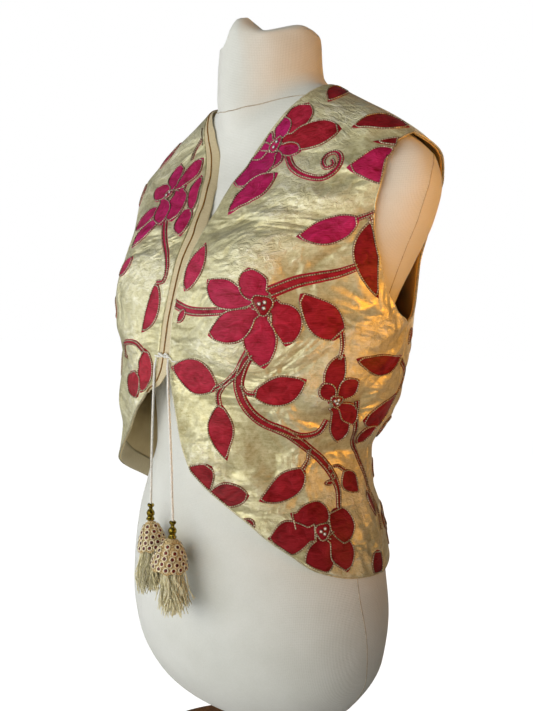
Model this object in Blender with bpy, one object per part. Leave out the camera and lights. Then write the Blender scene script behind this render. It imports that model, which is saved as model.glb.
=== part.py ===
"""Embroidered waistcoat, tied under the bust with tasselled cords, worn on a limbless dress form.

The form and the cloth are both drawn on rings round the body. A ring is known by its height at the
front. Above the armhole its sides climb faster than its front, so that the rings pass over the
shoulders and close in on the neck. Angles run from the front, 0 degrees, to the wearer's left.
Sizes in the tables are in millimetres, and heights in them are measured from the waist.
"""
import math
import random
from collections import namedtuple

import bmesh
import bpy
import numpy as np
from mathutils import Matrix, Vector

MM = 0.001
GAP = 0.3                      # between pieces that touch
WAIST_HEIGHT = 390.0           # of the waist above the floor

# cloth and its layers
LINING_THICK = 1.0
CLOTH_THICK = 1.4
SIDE_SEAM_ANGLE = 102.0
SHOULDER_ANGLE = 90.0
SEAM_HALF_ANGLE = 0.18         # of the gap between two panels at a seam
FRONT_COLUMNS = 18
FRONT_ROWS = 20
BACK_COLUMNS = 20
BACK_ROWS = 21
SHOULDER_ROWS = 5
LINED = ("right_front", "back")
# the right front's opening starts high, so its rows are bunched there to pass under the armhole
OPENING_BUNCHING = {"left": 1.0, "right": 1.5}

# bust
BUST_SPREAD = 84.0             # from the centre front to the point of the bust
BUST_WIDE = 50.0
BUST_TALL = 78.0
BUST_HEIGHT = 165.0
FORM_BUST = 21.0
COAT_BUST = 17.0

# the right front hangs straight down from the bust
SWING = 27.0
SWING_ANGLE = -55.0
SWING_SPREAD = 38.0
SWING_TOP = 95.0
SWING_DROP = 120.0

# form, stand and base
FORM_COLUMNS = 40
POST_RADIUS = 17.0
BASE_RADIUS = 150.0
BASE_THICK = 22.0
COLLAR_RADIUS = 34.0
COLLAR_HEIGHT = 16.0
TURNED_SIDES = 32

# tie
CORD_DIAMETER = 2.6
CORD_POINTS = 36
KNOT_LENGTH = 22.0
KNOT_STRAND = 1.45
KNOT_TURNS = 1.0
KNOT_CENTRE = (1.4, -138.0, 97.5)

# tassels
SKIRT_HEIGHT = 29.0
SKIRT_WALL = 1.4
SKIRT_CLEAR = 0.9              # under the bead, where the leaning skirt's top turns
SKIRT_SIDES = 24
SKIRT_SCALLOPS = 8
SCALLOP_DEPTH = 1.6
HEAD_RADIUS = 4.6
HEAD_HEIGHT = 9.0
HEAD_DROP = 3.7                # from the top of the skirt to the head inside it
STRAND_COLUMNS = 12
STRAND_RINGS = 3
STRAND_LENGTH = 62.0
STRAND_FLARE = 3.0             # spread of the ends against the roots
STRAND_NARROW = 0.62           # width of an end against its root
STRAND_SEED = 7

Ring = namedtuple("Ring", "front side back half_width front_depth back_depth")
FORM_RINGS = [
    Ring(-276, -276, -276, 66, 46, 52),
    Ring(-268, -268, -268, 106, 70, 82),
    Ring(-244, -244, -244, 135, 96, 106),
    Ring(-210, -210, -210, 152, 112, 118),
    Ring(-168, -168, -168, 157, 120, 119),
    Ring(-120, -120, -120, 153, 122, 111),
    Ring(-80, -80, -80, 145, 121, 101),
    Ring(-40, -40, -40, 130, 117, 86),
    Ring(0, 0, 0, 120, 109, 78),
    Ring(50, 50, 50, 124, 110, 82),
    Ring(100, 100, 100, 135, 114, 90),
    Ring(145, 150, 150, 148, 118, 101),
    Ring(185, 198, 198, 174, 108, 110),
    Ring(215, 234, 236, 194, 97, 113),
    Ring(240, 263, 272, 202, 86, 112),
    Ring(261, 286, 300, 196, 76, 107),
    Ring(277, 306, 323, 176, 67, 99),
    Ring(290, 327, 338, 144, 61, 90),
    Ring(304, 346, 353, 108, 57, 80),
    Ring(317, 362, 366, 79, 56, 68),
    Ring(330, 374, 378, 61, 61, 55),
    Ring(345, 384, 388, 55, 65, 44),
    Ring(385, 406, 409, 54, 66, 38),
    Ring(418, 424, 426, 53.5, 65.5, 37),
    Ring(430, 433, 434, 47, 59, 31),
    Ring(435, 436, 436.5, 34, 46, 18),
]
COAT_RINGS = [
    Ring(-140, -140, -140, 156, 132, 117),
    Ring(-100, -100, -100, 153, 131, 111),
    Ring(-60, -60, -60, 143, 130, 102),
    Ring(-25, -25, -25, 130, 129, 91),
    Ring(10, 10, 10, 129, 132, 90),
    Ring(45, 45, 45, 146, 134, 107),
    Ring(80, 80, 80, 158, 135, 114),
    Ring(120, 122, 120, 165, 134, 121),
    Ring(150, 156, 155, 168, 131, 121),
    Ring(185, 198, 198, 178, 123, 121),
    Ring(215, 234, 236, 195, 109, 120),
    Ring(240, 266, 275, 204, 94, 119),
    Ring(261, 289, 304, 199, 82, 113),
    Ring(277, 308, 327, 179, 71, 105),
    Ring(290, 329, 341, 147, 65, 96),
    Ring(304, 348, 356, 111, 61, 85),
    Ring(317, 364, 369, 82, 60, 73),
    Ring(330, 377, 382, 65, 65, 60),
]

# edges of the panels: the angle round the body and the ring that each point lies on
Edge = namedtuple("Edge", "angle ring")
LEFT_OPENING = [
    Edge(16.0, -10), Edge(12.0, 15), Edge(8.0, 49), Edge(5.0, 82), Edge(4.5, 99), Edge(4.7, 134),
    Edge(6.5, 166), Edge(8.7, 190), Edge(10.0, 213), Edge(11.5, 238), Edge(12.5, 261),
    Edge(18.0, 284), Edge(30.0, 302), Edge(47.5, 312), Edge(70.0, 316), Edge(SHOULDER_ANGLE, 317),
]
LEFT_HEM = [
    Edge(16.0, -10), Edge(22.5, -23), Edge(32.0, -39), Edge(40.0, -53), Edge(46.5, -66),
    Edge(54.5, -79), Edge(64.5, -94), Edge(82.5, -104), Edge(SIDE_SEAM_ANGLE, -107),
]
RIGHT_OPENING = [
    Edge(-9.0, 60), Edge(-5.0, 76), Edge(-3.5, 99), Edge(-2.5, 133), Edge(-1.5, 168),
    Edge(-2.0, 203), Edge(-5.0, 237), Edge(-11.0, 268), Edge(-21.0, 293), Edge(-35.0, 307),
    Edge(-56.0, 315), Edge(-75.0, 316), Edge(-SHOULDER_ANGLE, 317),
]
RIGHT_HEM = [
    Edge(-9.0, 60), Edge(-12.5, 51), Edge(-17.0, 41), Edge(-26.0, 22), Edge(-36.0, 3),
    Edge(-50.0, -18), Edge(-62.0, -36), Edge(-76.0, -64), Edge(-90.0, -92),
    Edge(-SIDE_SEAM_ANGLE, -107),
]
FRONT_SIDE = [
    Edge(SIDE_SEAM_ANGLE, -107), Edge(SIDE_SEAM_ANGLE, -20), Edge(SIDE_SEAM_ANGLE, 60),
    Edge(SIDE_SEAM_ANGLE, 132), Edge(91.0, 143), Edge(82.0, 159), Edge(74.0, 182),
    Edge(67.0, 207), Edge(64.5, 232), Edge(68.5, 255), Edge(78.0, 270),
    Edge(SHOULDER_ANGLE, 277),
]
BACK_SIDE = [
    Edge(SIDE_SEAM_ANGLE, -107), Edge(SIDE_SEAM_ANGLE, -20), Edge(SIDE_SEAM_ANGLE, 60),
    Edge(SIDE_SEAM_ANGLE, 132), Edge(112.0, 142), Edge(120.0, 160), Edge(126.0, 185),
    Edge(127.0, 213), Edge(121.0, 241), Edge(108.0, 265), Edge(SHOULDER_ANGLE, 277),
]
BACK_HEM = [
    Edge(SIDE_SEAM_ANGLE, -107), Edge(125.0, -98), Edge(150.0, -90), Edge(180.0, -88),
]
BACK_NECK = [
    Edge(SHOULDER_ANGLE, 317), Edge(115.0, 315), Edge(145.0, 312), Edge(180.0, 311),
]

# soft ridges of the cloth: from one end to the other, with the width and height of each
Fold = namedtuple("Fold", "angle ring end_angle end_ring wide high")
FOLDS = [
    Fold(96, 118, 60, 60, 13, 4.0),
    Fold(104, 84, 70, 22, 12, 5.0),
    Fold(30, 30, 48, -40, 13, 3.5),
    Fold(58, 20, 70, -70, 13, 3.0),
    Fold(112, 70, 150, 40, 12, 5.0),
    Fold(118, 30, 160, 55, 12, 4.0),
    Fold(180, 120, 176, -30, 15, 4.0),
    Fold(236, 60, 205, 20, 12, 4.5),
    Fold(250, 100, 222, 66, 12, 4.0),
    Fold(-24, 190, -44, 120, 13, 3.5),
    Fold(-12, 102, -38, 128, 11, 4.0),
    Fold(-30, 70, -44, 20, 13, 4.0),
    Fold(-66, 100, -60, -20, 14, 5.0),
    Fold(-92, 90, -80, 10, 13, 4.0),
]

# route of each cord's centre line, from the knot down to its bead
RoutePoint = namedtuple("RoutePoint", "x y z")
CORD_ROUTES = {
    "right": [
        RoutePoint(-8.0, -138.2, 94.2), RoutePoint(-9.4, -139.2, 84.0),
        RoutePoint(-9.8, -139.4, 52.0), RoutePoint(-9.6, -139.6, 4.0),
        RoutePoint(-9.0, -139.6, -30.0), RoutePoint(-8.6, -139.6, -48.5),
    ],
    "left": [
        RoutePoint(11.0, -138.2, 94.2), RoutePoint(14.8, -141.6, 85.0),
        RoutePoint(19.4, -143.0, 56.0), RoutePoint(25.8, -143.6, 9.0),
        RoutePoint(30.6, -144.0, -34.0), RoutePoint(33.0, -144.2, -55.5),
    ],
}
# way that each tassel leans below its bead, and how widely its skirt is spread
SKIRT_LEAN = {"right": (0.22, 0.0, -1.0), "left": (-0.12, 0.0, -1.0)}
TASSEL_LEAN = {"right": (0.04, 0.0, -1.0), "left": (0.12, 0.0, -1.0)}
SKIRT_SPREAD = {"right": 1.0, "left": 1.2}

Turn = namedtuple("Turn", "radius down")
BEAD_PROFILE = [
    Turn(2.6, 0.0), Turn(3.4, 1.4), Turn(2.9, 2.8), Turn(1.9, 3.8), Turn(1.8, 5.4),
    Turn(3.0, 6.8), Turn(4.0, 9.0), Turn(3.9, 10.8), Turn(3.0, 12.4), Turn(3.1, 13.6),
    Turn(4.2, 15.0), Turn(4.1, 16.0),
]
SKIRT_PROFILE = [
    Turn(2.4, 0.0), Turn(6.0, 4.0), Turn(9.6, 11.0), Turn(12.4, 19.0), Turn(14.4, SKIRT_HEIGHT),
]

Finish = namedtuple("Finish", "colour roughness metallic")
FINISHES = {
    "cloth": Finish((0.63, 0.55, 0.33), 0.38, 0.25),
    "lining": Finish((0.56, 0.45, 0.27), 0.6, 0.0),
    "form": Finish((0.74, 0.72, 0.66), 0.85, 0.0),
    "wood": Finish((0.30, 0.15, 0.05), 0.45, 0.0),
    "cord": Finish((0.82, 0.80, 0.72), 0.6, 0.0),
    "brass": Finish((0.42, 0.31, 0.08), 0.28, 1.0),
    "crochet": Finish((0.72, 0.58, 0.30), 0.7, 0.0),
    "silk": Finish((0.60, 0.52, 0.28), 0.4, 0.0),
}


def clear_scene():
    for thing in list(bpy.data.objects):
        bpy.data.objects.remove(thing, do_unlink=True)


def material(name):
    found = bpy.data.materials.get(name)
    if found:
        return found
    made = bpy.data.materials.new(name)
    made.use_nodes = True
    shader = made.node_tree.nodes["Principled BSDF"]
    finish = FINISHES[name]
    shader.inputs["Base Color"].default_value = (*finish.colour, 1.0)
    shader.inputs["Roughness"].default_value = finish.roughness
    shader.inputs["Metallic"].default_value = finish.metallic
    return made


def add_mesh(name, points, faces, finish, smooth=True):
    """One object from points in millimetres above the waist, with its normals made to point out."""
    mesh = bpy.data.meshes.new(name)
    placed = [((x * MM), (y * MM), ((z + WAIST_HEIGHT) * MM)) for x, y, z in points]
    mesh.from_pydata(placed, [], faces)
    work = bmesh.new()
    work.from_mesh(mesh)
    bmesh.ops.recalc_face_normals(work, faces=work.faces)
    if work.calc_volume(signed=True) < 0:
        bmesh.ops.reverse_faces(work, faces=work.faces)
    work.to_mesh(mesh)
    work.free()
    thing = bpy.data.objects.new(name, mesh)
    bpy.context.collection.objects.link(thing)
    mesh.materials.append(material(finish))
    if smooth:
        mesh.shade_smooth()
    return thing


def smooth_table(keys, values, at):
    """Monotone cubic through table rows, so that a curve never overshoots its rows."""
    keys = np.asarray(keys, float)
    values = np.asarray(values, float)
    step = np.diff(keys)
    slope = np.diff(values, axis=0) / step[:, None]
    tangent = np.zeros_like(values)
    tangent[0] = slope[0]
    tangent[-1] = slope[-1]
    before, after = slope[:-1], slope[1:]
    weight_a = (2 * step[1:] + step[:-1])[:, None]
    weight_b = (step[1:] + 2 * step[:-1])[:, None]
    same_way = before * after > 0
    safe_before = np.where(same_way, before, 1.0)
    safe_after = np.where(same_way, after, 1.0)
    mean = (weight_a + weight_b) / (weight_a / safe_before + weight_b / safe_after)
    tangent[1:-1] = np.where(same_way, mean, 0.0)
    at = np.clip(np.asarray(at, float), keys[0], keys[-1])
    row = np.clip(np.searchsorted(keys, at, side="right") - 1, 0, len(keys) - 2)
    width = step[row]
    t = ((at - keys[row]) / width)[..., None]
    width = width[..., None]
    return (
        (1 + 2 * t) * (1 - t) ** 2 * values[row]
        + t * (1 - t) ** 2 * width * tangent[row]
        + t * t * (3 - 2 * t) * values[row + 1]
        + t * t * (t - 1) * width * tangent[row + 1]
    )


def body_point(rings, bust, angle, ring):
    """Points on the rings, with the angle in degrees."""
    angle, ring = np.broadcast_arrays(np.radians(angle), np.asarray(ring, float))
    table = np.array(rings, float)
    rows = smooth_table(table[:, 0], table[:, 1:], ring)
    side, back, half_width, front_depth, back_depth = np.moveaxis(rows, -1, 0)
    cosine, sine = np.cos(angle), np.sin(angle)
    is_front = cosine > 0
    # the rings are more pointed at the sides where they pass over the shoulders
    point = 1 + 0.22 * np.clip((ring - 150) / 90, 0, 1) * np.clip((345 - ring) / 40, 0, 1)
    x = half_width * np.sign(sine) * np.abs(sine) ** point
    y = np.where(is_front, -front_depth * cosine, -back_depth * cosine)
    z = side + (np.where(is_front, ring, back) - side) * cosine ** 2
    across = np.exp(-(((np.abs(x) - BUST_SPREAD) / BUST_WIDE) ** 2))
    upright = np.exp(-(((z - BUST_HEIGHT) / BUST_TALL) ** 2))
    y = y - bust * across * upright * np.clip(cosine * 1.6, 0, 1)
    return np.stack([x, y, z], -1)


def coat_point(angle, ring):
    """Inner face of the lining."""
    points = body_point(COAT_RINGS, COAT_BUST, angle, ring)
    turn = np.radians(angle) * np.ones_like(points[..., 0])
    wrapped = (np.degrees(turn) + 180) % 360 - 180
    near = np.exp(-(((wrapped - SWING_ANGLE) / SWING_SPREAD) ** 2))
    drop = np.clip((SWING_TOP - points[..., 2]) / SWING_DROP, 0, 1)
    outward = np.stack([np.sin(turn), -np.cos(turn), np.zeros_like(turn)], -1)
    return points + outward * (SWING * near * drop)[..., None]


def coat_normal(angle, ring):
    """Direction out of the cloth, from the slopes of the surface."""
    round_body = coat_point(angle + 0.6, ring) - coat_point(angle - 0.6, ring)
    upward = coat_point(angle, ring + 0.8) - coat_point(angle, ring - 0.8)
    normal = np.cross(round_body, upward)
    return normal / np.linalg.norm(normal, axis=-1, keepdims=True)


def fold_height(angle, ring):
    """How far the folds lift the outer cloth off its lining."""
    here = coat_point(angle, ring)
    lift = np.zeros_like(here[..., 0])
    for fold in FOLDS:
        start = coat_point(fold.angle, fold.ring)
        end = coat_point(fold.end_angle, fold.end_ring)
        along = end - start
        share = np.clip(((here - start) @ along) / (along @ along), 0, 1)
        distance = np.linalg.norm(here - start - share[..., None] * along, axis=-1)
        taper = 0.35 + 0.65 * np.sin(np.pi * share)
        lift = np.maximum(lift, fold.high * taper * np.exp(-((distance / fold.wide) ** 2)))
    return lift


def edge_curve(edge, count, bunching=1.0):
    """A table's curve as count + 1 points of angle and ring, evenly spaced or bunched at its start."""
    rows = np.array(edge, float)
    places = coat_point(rows[:, 0], rows[:, 1])
    along = np.concatenate([[0.0], np.cumsum(np.linalg.norm(np.diff(places, axis=0), axis=1))])
    return smooth_table(along, rows, np.linspace(0, 1, count + 1) ** bunching * along[-1])


def mirror_edge(edge):
    return [Edge(-point.angle, point.ring) for point in edge]


def round_back(edge):
    """The other half of an edge of the back, as angles past 180 degrees."""
    return [Edge(360 - point.angle, point.ring) for point in reversed(edge)]


def patch(bottom, top, left, right):
    """Grid of angle and ring inside four edges that meet at their ends."""
    columns, rows = len(bottom) - 1, len(left) - 1
    u = np.linspace(0, 1, columns + 1)[None, :, None]
    v = np.linspace(0, 1, rows + 1)[:, None, None]
    across = (1 - u) * left[:, None, :] + u * right[:, None, :]
    upward = (1 - v) * bottom[None, :, :] + v * top[None, :, :]
    corners = (
        (1 - u) * (1 - v) * bottom[0] + u * (1 - v) * bottom[-1]
        + (1 - u) * v * top[0] + u * v * top[-1]
    )
    return across + upward - corners


def front_grid(side):
    opening = {"left": LEFT_OPENING, "right": RIGHT_OPENING}[side]
    hem = {"left": LEFT_HEM, "right": RIGHT_HEM}[side]
    flank = {"left": FRONT_SIDE, "right": mirror_edge(FRONT_SIDE)}[side]
    shoulder = [opening[-1], flank[-1]]
    grid = patch(
        edge_curve(hem, FRONT_COLUMNS), edge_curve(shoulder, FRONT_COLUMNS),
        edge_curve(opening, FRONT_ROWS, OPENING_BUNCHING[side]), edge_curve(flank, FRONT_ROWS),
    )
    sign = 1 if side == "left" else -1
    limit = np.where(grid[..., 1] > 200, SHOULDER_ANGLE, SIDE_SEAM_ANGLE) - SEAM_HALF_ANGLE
    grid[..., 0] = sign * np.minimum(grid[..., 0] * sign, limit)
    return grid


def back_grid():
    """Rows follow the rings, so each side runs up the side seam, the armhole and the shoulder."""
    shoulder = [BACK_SIDE[-1], BACK_NECK[0]]
    armhole = edge_curve(BACK_SIDE, BACK_ROWS - SHOULDER_ROWS)
    near_side = np.concatenate([armhole, edge_curve(shoulder, SHOULDER_ROWS)[1:]])
    far_side = near_side.copy()
    far_side[:, 0] = 360 - far_side[:, 0]
    hem = edge_curve(BACK_HEM + round_back(BACK_HEM)[1:], BACK_COLUMNS)
    neck = edge_curve(BACK_NECK + round_back(BACK_NECK)[1:], BACK_COLUMNS)
    grid = patch(hem, neck, near_side, far_side)
    limit = np.where(grid[..., 1] > 200, SHOULDER_ANGLE, SIDE_SEAM_ANGLE) + SEAM_HALF_ANGLE
    grid[..., 0] = np.clip(grid[..., 0], limit, 360 - limit)
    return grid


def wall(name, grid, inner, outer, finish, with_folds):
    """Closed wall over a grid, between two distances out from the inside of the coat."""
    angle, ring = grid[..., 0], grid[..., 1]
    base = coat_point(angle, ring)
    normal = coat_normal(angle, ring)
    lift = fold_height(angle, ring) if with_folds else np.zeros_like(angle)
    inside = base + normal * (inner + lift)[..., None]
    outside = base + normal * (outer + lift)[..., None]
    rows, columns = angle.shape
    points = np.concatenate([inside.reshape(-1, 3), outside.reshape(-1, 3)])
    far = rows * columns

    def at(row, column, layer):
        return layer * far + row * columns + column

    faces = []
    for row in range(rows - 1):
        for column in range(columns - 1):
            low_near, low_far = (row, column), (row, column + 1)
            high_near, high_far = (row + 1, column), (row + 1, column + 1)
            # every layer is cut along the same diagonal, so that layers nest
            for corners in ((low_near, low_far, high_far), (low_near, high_far, high_near)):
                faces.append([at(r, c, 1) for r, c in corners])
                faces.append([at(r, c, 0) for r, c in reversed(corners)])
    rim = [(0, c) for c in range(columns)]
    rim += [(r, columns - 1) for r in range(1, rows)]
    rim += [(rows - 1, c) for c in range(columns - 2, -1, -1)]
    rim += [(r, 0) for r in range(rows - 2, 0, -1)]
    for here, there in zip(rim, rim[1:] + rim[:1]):
        faces.append([at(*here, 0), at(*there, 0), at(*there, 1), at(*here, 1)])
    return add_mesh(name, points, faces, finish)


def make_panels():
    panels = {"left_front": front_grid("left"), "right_front": front_grid("right"),
              "back": back_grid()}
    cloth_inner = LINING_THICK + GAP
    for name, grid in panels.items():
        wall(name, grid, cloth_inner, cloth_inner + CLOTH_THICK, "cloth", with_folds=True)
        if name in LINED:
            wall("lining_" + name, grid, 0.0, LINING_THICK, "lining", with_folds=False)


def make_form():
    levels = [ring.front for ring in FORM_RINGS]
    angles = np.arange(FORM_COLUMNS) * 360.0 / FORM_COLUMNS
    points = []
    for level in levels:
        points += list(body_point(FORM_RINGS, FORM_BUST, angles, level))
    faces = []
    for row in range(len(levels) - 1):
        for column in range(FORM_COLUMNS):
            across = (column + 1) % FORM_COLUMNS
            low, high = row * FORM_COLUMNS, (row + 1) * FORM_COLUMNS
            faces.append([low + column, low + across, high + across, high + column])
    faces.append(list(range(FORM_COLUMNS))[::-1])
    last = (len(levels) - 1) * FORM_COLUMNS
    faces.append([last + column for column in range(FORM_COLUMNS)])
    return add_mesh("form_torso", points, faces, "form")


def turned(name, profile, finish, sides, place=Matrix.Identity(4)):
    """Solid of revolution whose profile runs from the top end of its axis to the bottom end."""
    points = []
    for turn in profile:
        for side in range(sides):
            around = math.tau * side / sides
            spot = Vector((turn.radius * math.cos(around), turn.radius * math.sin(around), -turn.down))
            points.append(place @ spot)
    faces = []
    for row in range(len(profile) - 1):
        for side in range(sides):
            across = (side + 1) % sides
            top, low = row * sides, (row + 1) * sides
            faces.append([top + side, low + side, low + across, top + across])
    faces.append(list(range(sides)))
    last = (len(profile) - 1) * sides
    faces.append([last + side for side in range(sides)][::-1])
    return add_mesh(name, points, faces, finish)


def make_stand():
    floor = -WAIST_HEIGHT
    form_bottom = FORM_RINGS[0].front
    base_top = floor + BASE_THICK
    base = [Turn(BASE_RADIUS - 12, 0), Turn(BASE_RADIUS - 5, 2.5), Turn(BASE_RADIUS - 1, 7),
            Turn(BASE_RADIUS, 12), Turn(BASE_RADIUS, BASE_THICK - 3),
            Turn(BASE_RADIUS - 2, BASE_THICK)]
    turned("stand_base", base, "wood", TURNED_SIDES, Matrix.Translation((0, 0, base_top)))
    collar_top = base_top + GAP + COLLAR_HEIGHT
    collar = [Turn(COLLAR_RADIUS - 12, 0), Turn(COLLAR_RADIUS - 10, 3), Turn(COLLAR_RADIUS - 3, 9),
              Turn(COLLAR_RADIUS, 13), Turn(COLLAR_RADIUS, COLLAR_HEIGHT)]
    turned("stand_collar", collar, "wood", TURNED_SIDES, Matrix.Translation((0, 0, collar_top)))
    post_top = form_bottom - GAP
    post_length = post_top - collar_top - GAP
    post = [Turn(POST_RADIUS, 0), Turn(POST_RADIUS, post_length)]
    turned("stand_post", post, "wood", 28, Matrix.Translation((0, 0, post_top)))


def tube_curve(name, points, diameter, finish):
    curve = bpy.data.curves.new(name, "CURVE")
    curve.dimensions = "3D"
    curve.bevel_depth = diameter / 2 * MM
    curve.bevel_resolution = 2
    curve.use_fill_caps = True
    spline = curve.splines.new("POLY")
    spline.points.add(len(points) - 1)
    for spot, (x, y, z) in zip(spline.points, points):
        spot.co = (x * MM, y * MM, (z + WAIST_HEIGHT) * MM, 1.0)
    curve.materials.append(material(finish))
    thing = bpy.data.objects.new(name, curve)
    bpy.context.collection.objects.link(thing)
    return thing


def route_curve(route, count):
    rows = np.array(route, float)
    along = np.concatenate([[0.0], np.cumsum(np.linalg.norm(np.diff(rows, axis=0), axis=1))])
    return smooth_table(along, rows, np.linspace(0, along[-1], count))


def make_knot():
    """The stretch where the two cords are wound once round each other, between the fronts."""
    sides, rows = 12, 12
    points = []
    for row in range(rows):
        share = row / (rows - 1)
        twist = math.tau * KNOT_TURNS * share
        x = KNOT_CENTRE[0] + KNOT_LENGTH * (share - 0.5)
        drop = -1.2 * (2 * share - 1) ** 2
        full = 0.55 + 0.45 * math.sin(math.pi * share) ** 0.5
        for side in range(sides):
            around = math.tau * side / sides
            lobe = KNOT_STRAND * full * (1 + 0.95 * abs(math.cos(around)))
            spot = (lobe * math.cos(around + twist), lobe * math.sin(around + twist))
            points.append((x, KNOT_CENTRE[1] + spot[0], KNOT_CENTRE[2] + drop + spot[1]))
    faces = []
    for row in range(rows - 1):
        for side in range(sides):
            across = (side + 1) % sides
            low, high = row * sides, (row + 1) * sides
            faces.append([low + side, low + across, high + across, high + side])
    faces.append(list(range(sides))[::-1])
    faces.append([(rows - 1) * sides + side for side in range(sides)])
    return add_mesh("tie_knot", points, faces, "cord")


def leaning(top, lean):
    """Places a turned piece with its top centre at a point and its axis along a direction."""
    down = Vector(lean).normalized()
    turn = Vector((0, 0, -1)).rotation_difference(down).to_matrix().to_4x4()
    return Matrix.Translation(top) @ turn


def make_skirt(name, place, spread):
    """Crocheted cone, open below, with a scalloped lower edge."""
    outer = [Turn(turn.radius * spread, turn.down) for turn in SKIRT_PROFILE]
    inner = [Turn(turn.radius - SKIRT_WALL, turn.down) for turn in outer[1:]]
    inner.insert(0, Turn(1.0, SKIRT_WALL + 1.4))
    last = len(outer) - 1

    def ring(turn, is_edge):
        spots = []
        for side in range(SKIRT_SIDES):
            around = math.tau * side / SKIRT_SIDES
            wave = SCALLOP_DEPTH * abs(math.sin(SKIRT_SCALLOPS * around / 2)) if is_edge else 0.0
            spot = Vector((turn.radius * math.cos(around), turn.radius * math.sin(around),
                           -turn.down + SCALLOP_DEPTH - wave if is_edge else -turn.down))
            spots.append(place @ spot)
        return spots

    points = []
    for index, turn in enumerate(outer):
        points += ring(turn, index == last)
    for index in range(len(inner) - 1, -1, -1):
        points += ring(inner[index], index == last)
    rows = len(outer) + len(inner)
    faces = []
    for row in range(rows - 1):
        for side in range(SKIRT_SIDES):
            across = (side + 1) % SKIRT_SIDES
            low, high = row * SKIRT_SIDES, (row + 1) * SKIRT_SIDES
            faces.append([low + side, low + across, high + across, high + side])
    faces.append(list(range(SKIRT_SIDES)))
    faces.append([(rows - 1) * SKIRT_SIDES + side for side in range(SKIRT_SIDES)][::-1])
    return add_mesh(name, points, faces, "crochet")


def make_tassel(name, place, seed):
    """Head with its strands drawn out of the faces under it, each standing apart."""
    chance = random.Random(seed)
    work = bmesh.new()
    rings = []
    for down, radius in ((0.0, 2.0), (2.0, 3.4), (5.0, HEAD_RADIUS), (HEAD_HEIGHT, HEAD_RADIUS)):
        ring = []
        for side in range(STRAND_COLUMNS):
            around = math.tau * side / STRAND_COLUMNS
            ring.append(work.verts.new((radius * math.cos(around), radius * math.sin(around), -down)))
        rings.append(ring)
    for share in [1 - step / STRAND_RINGS for step in range(1, STRAND_RINGS)]:
        ring = []
        for side in range(STRAND_COLUMNS):
            around = math.tau * side / STRAND_COLUMNS
            radius = HEAD_RADIUS * share
            ring.append(work.verts.new((radius * math.cos(around), radius * math.sin(around), -HEAD_HEIGHT)))
        rings.append(ring)
    work.faces.new(list(reversed(rings[0])))
    roots = []
    for index, (upper, lower) in enumerate(zip(rings, rings[1:])):
        for side in range(STRAND_COLUMNS):
            across = (side + 1) % STRAND_COLUMNS
            face = work.faces.new((upper[side], upper[across], lower[across], lower[side]))
            if index >= 3:
                roots.append(face)
    centre = work.verts.new((0, 0, -HEAD_HEIGHT))
    for side in range(STRAND_COLUMNS):
        across = (side + 1) % STRAND_COLUMNS
        roots.append(work.faces.new((rings[-1][side], rings[-1][across], centre)))
    bmesh.ops.recalc_face_normals(work, faces=work.faces)
    bmesh.ops.inset_individual(work, faces=roots, thickness=0.16, depth=0.0)
    for face in roots:
        root = face.calc_center_median()
        reach = STRAND_LENGTH * chance.uniform(0.86, 1.0)
        wander = Vector((chance.uniform(-0.8, 0.8), chance.uniform(-0.8, 0.8), 0))
        made = bmesh.ops.extrude_discrete_faces(work, faces=[face])
        face = made["faces"][0]
        middle = face.calc_center_median()
        aim = Vector((root.x * STRAND_FLARE, root.y * STRAND_FLARE, -HEAD_HEIGHT - reach)) + wander
        for vert in face.verts:
            vert.co = aim + (vert.co - middle) * STRAND_NARROW
    points = [place @ vert.co for vert in work.verts]
    work.verts.index_update()
    faces = [[vert.index for vert in face.verts] for face in work.faces]
    work.free()
    return add_mesh(name, points, faces, "silk", smooth=False)


def make_tie():
    make_knot()
    for side, route in CORD_ROUTES.items():
        tube_curve("tie_cord_" + side, route_curve(route, CORD_POINTS), CORD_DIAMETER, "cord")
        end = Vector(route[-1])
        bead_top = end - Vector((0, 0, GAP))
        turned("bead_" + side, BEAD_PROFILE, "brass", 14, leaning(bead_top, (0, 0, -1)))
        skirt_top = bead_top - Vector((0, 0, BEAD_PROFILE[-1].down + SKIRT_CLEAR))
        skirt_way = Vector(SKIRT_LEAN[side]).normalized()
        make_skirt("tassel_skirt_" + side, leaning(skirt_top, skirt_way), SKIRT_SPREAD[side])
        head_top = skirt_top + skirt_way * HEAD_DROP
        make_tassel("tassel_" + side, leaning(head_top, TASSEL_LEAN[side]),
                    STRAND_SEED + len(side))


def main():
    clear_scene()
    make_form()
    make_stand()
    make_panels()
    make_tie()


main()
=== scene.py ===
"""Looks of the embroidered waistcoat and its limbless dress form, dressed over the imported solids.

Sizes are in millimetres and heights are measured from the waist, as in the part's own tables, until
a piece's points are placed. Angles run from the front, 0 degrees, to the wearer's left.
"""
import math
import random
from collections import namedtuple

import bmesh
import bpy
import numpy as np
from mathutils import Matrix, Vector


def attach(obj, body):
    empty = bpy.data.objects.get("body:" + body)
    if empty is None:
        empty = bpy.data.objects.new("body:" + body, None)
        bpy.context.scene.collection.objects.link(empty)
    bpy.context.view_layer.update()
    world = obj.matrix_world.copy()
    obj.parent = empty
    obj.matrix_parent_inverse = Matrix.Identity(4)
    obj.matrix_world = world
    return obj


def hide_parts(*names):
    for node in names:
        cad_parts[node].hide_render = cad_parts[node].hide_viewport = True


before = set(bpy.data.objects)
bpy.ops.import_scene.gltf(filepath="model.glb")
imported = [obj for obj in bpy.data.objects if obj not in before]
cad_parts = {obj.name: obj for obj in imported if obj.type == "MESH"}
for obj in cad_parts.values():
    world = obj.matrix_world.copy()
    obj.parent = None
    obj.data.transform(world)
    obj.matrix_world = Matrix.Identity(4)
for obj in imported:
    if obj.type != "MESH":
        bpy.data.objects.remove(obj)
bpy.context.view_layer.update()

MM = 0.001
GAP = 0.3                      # between pieces that touch
WAIST_HEIGHT = 390.0           # of the waist above the floor

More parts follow.
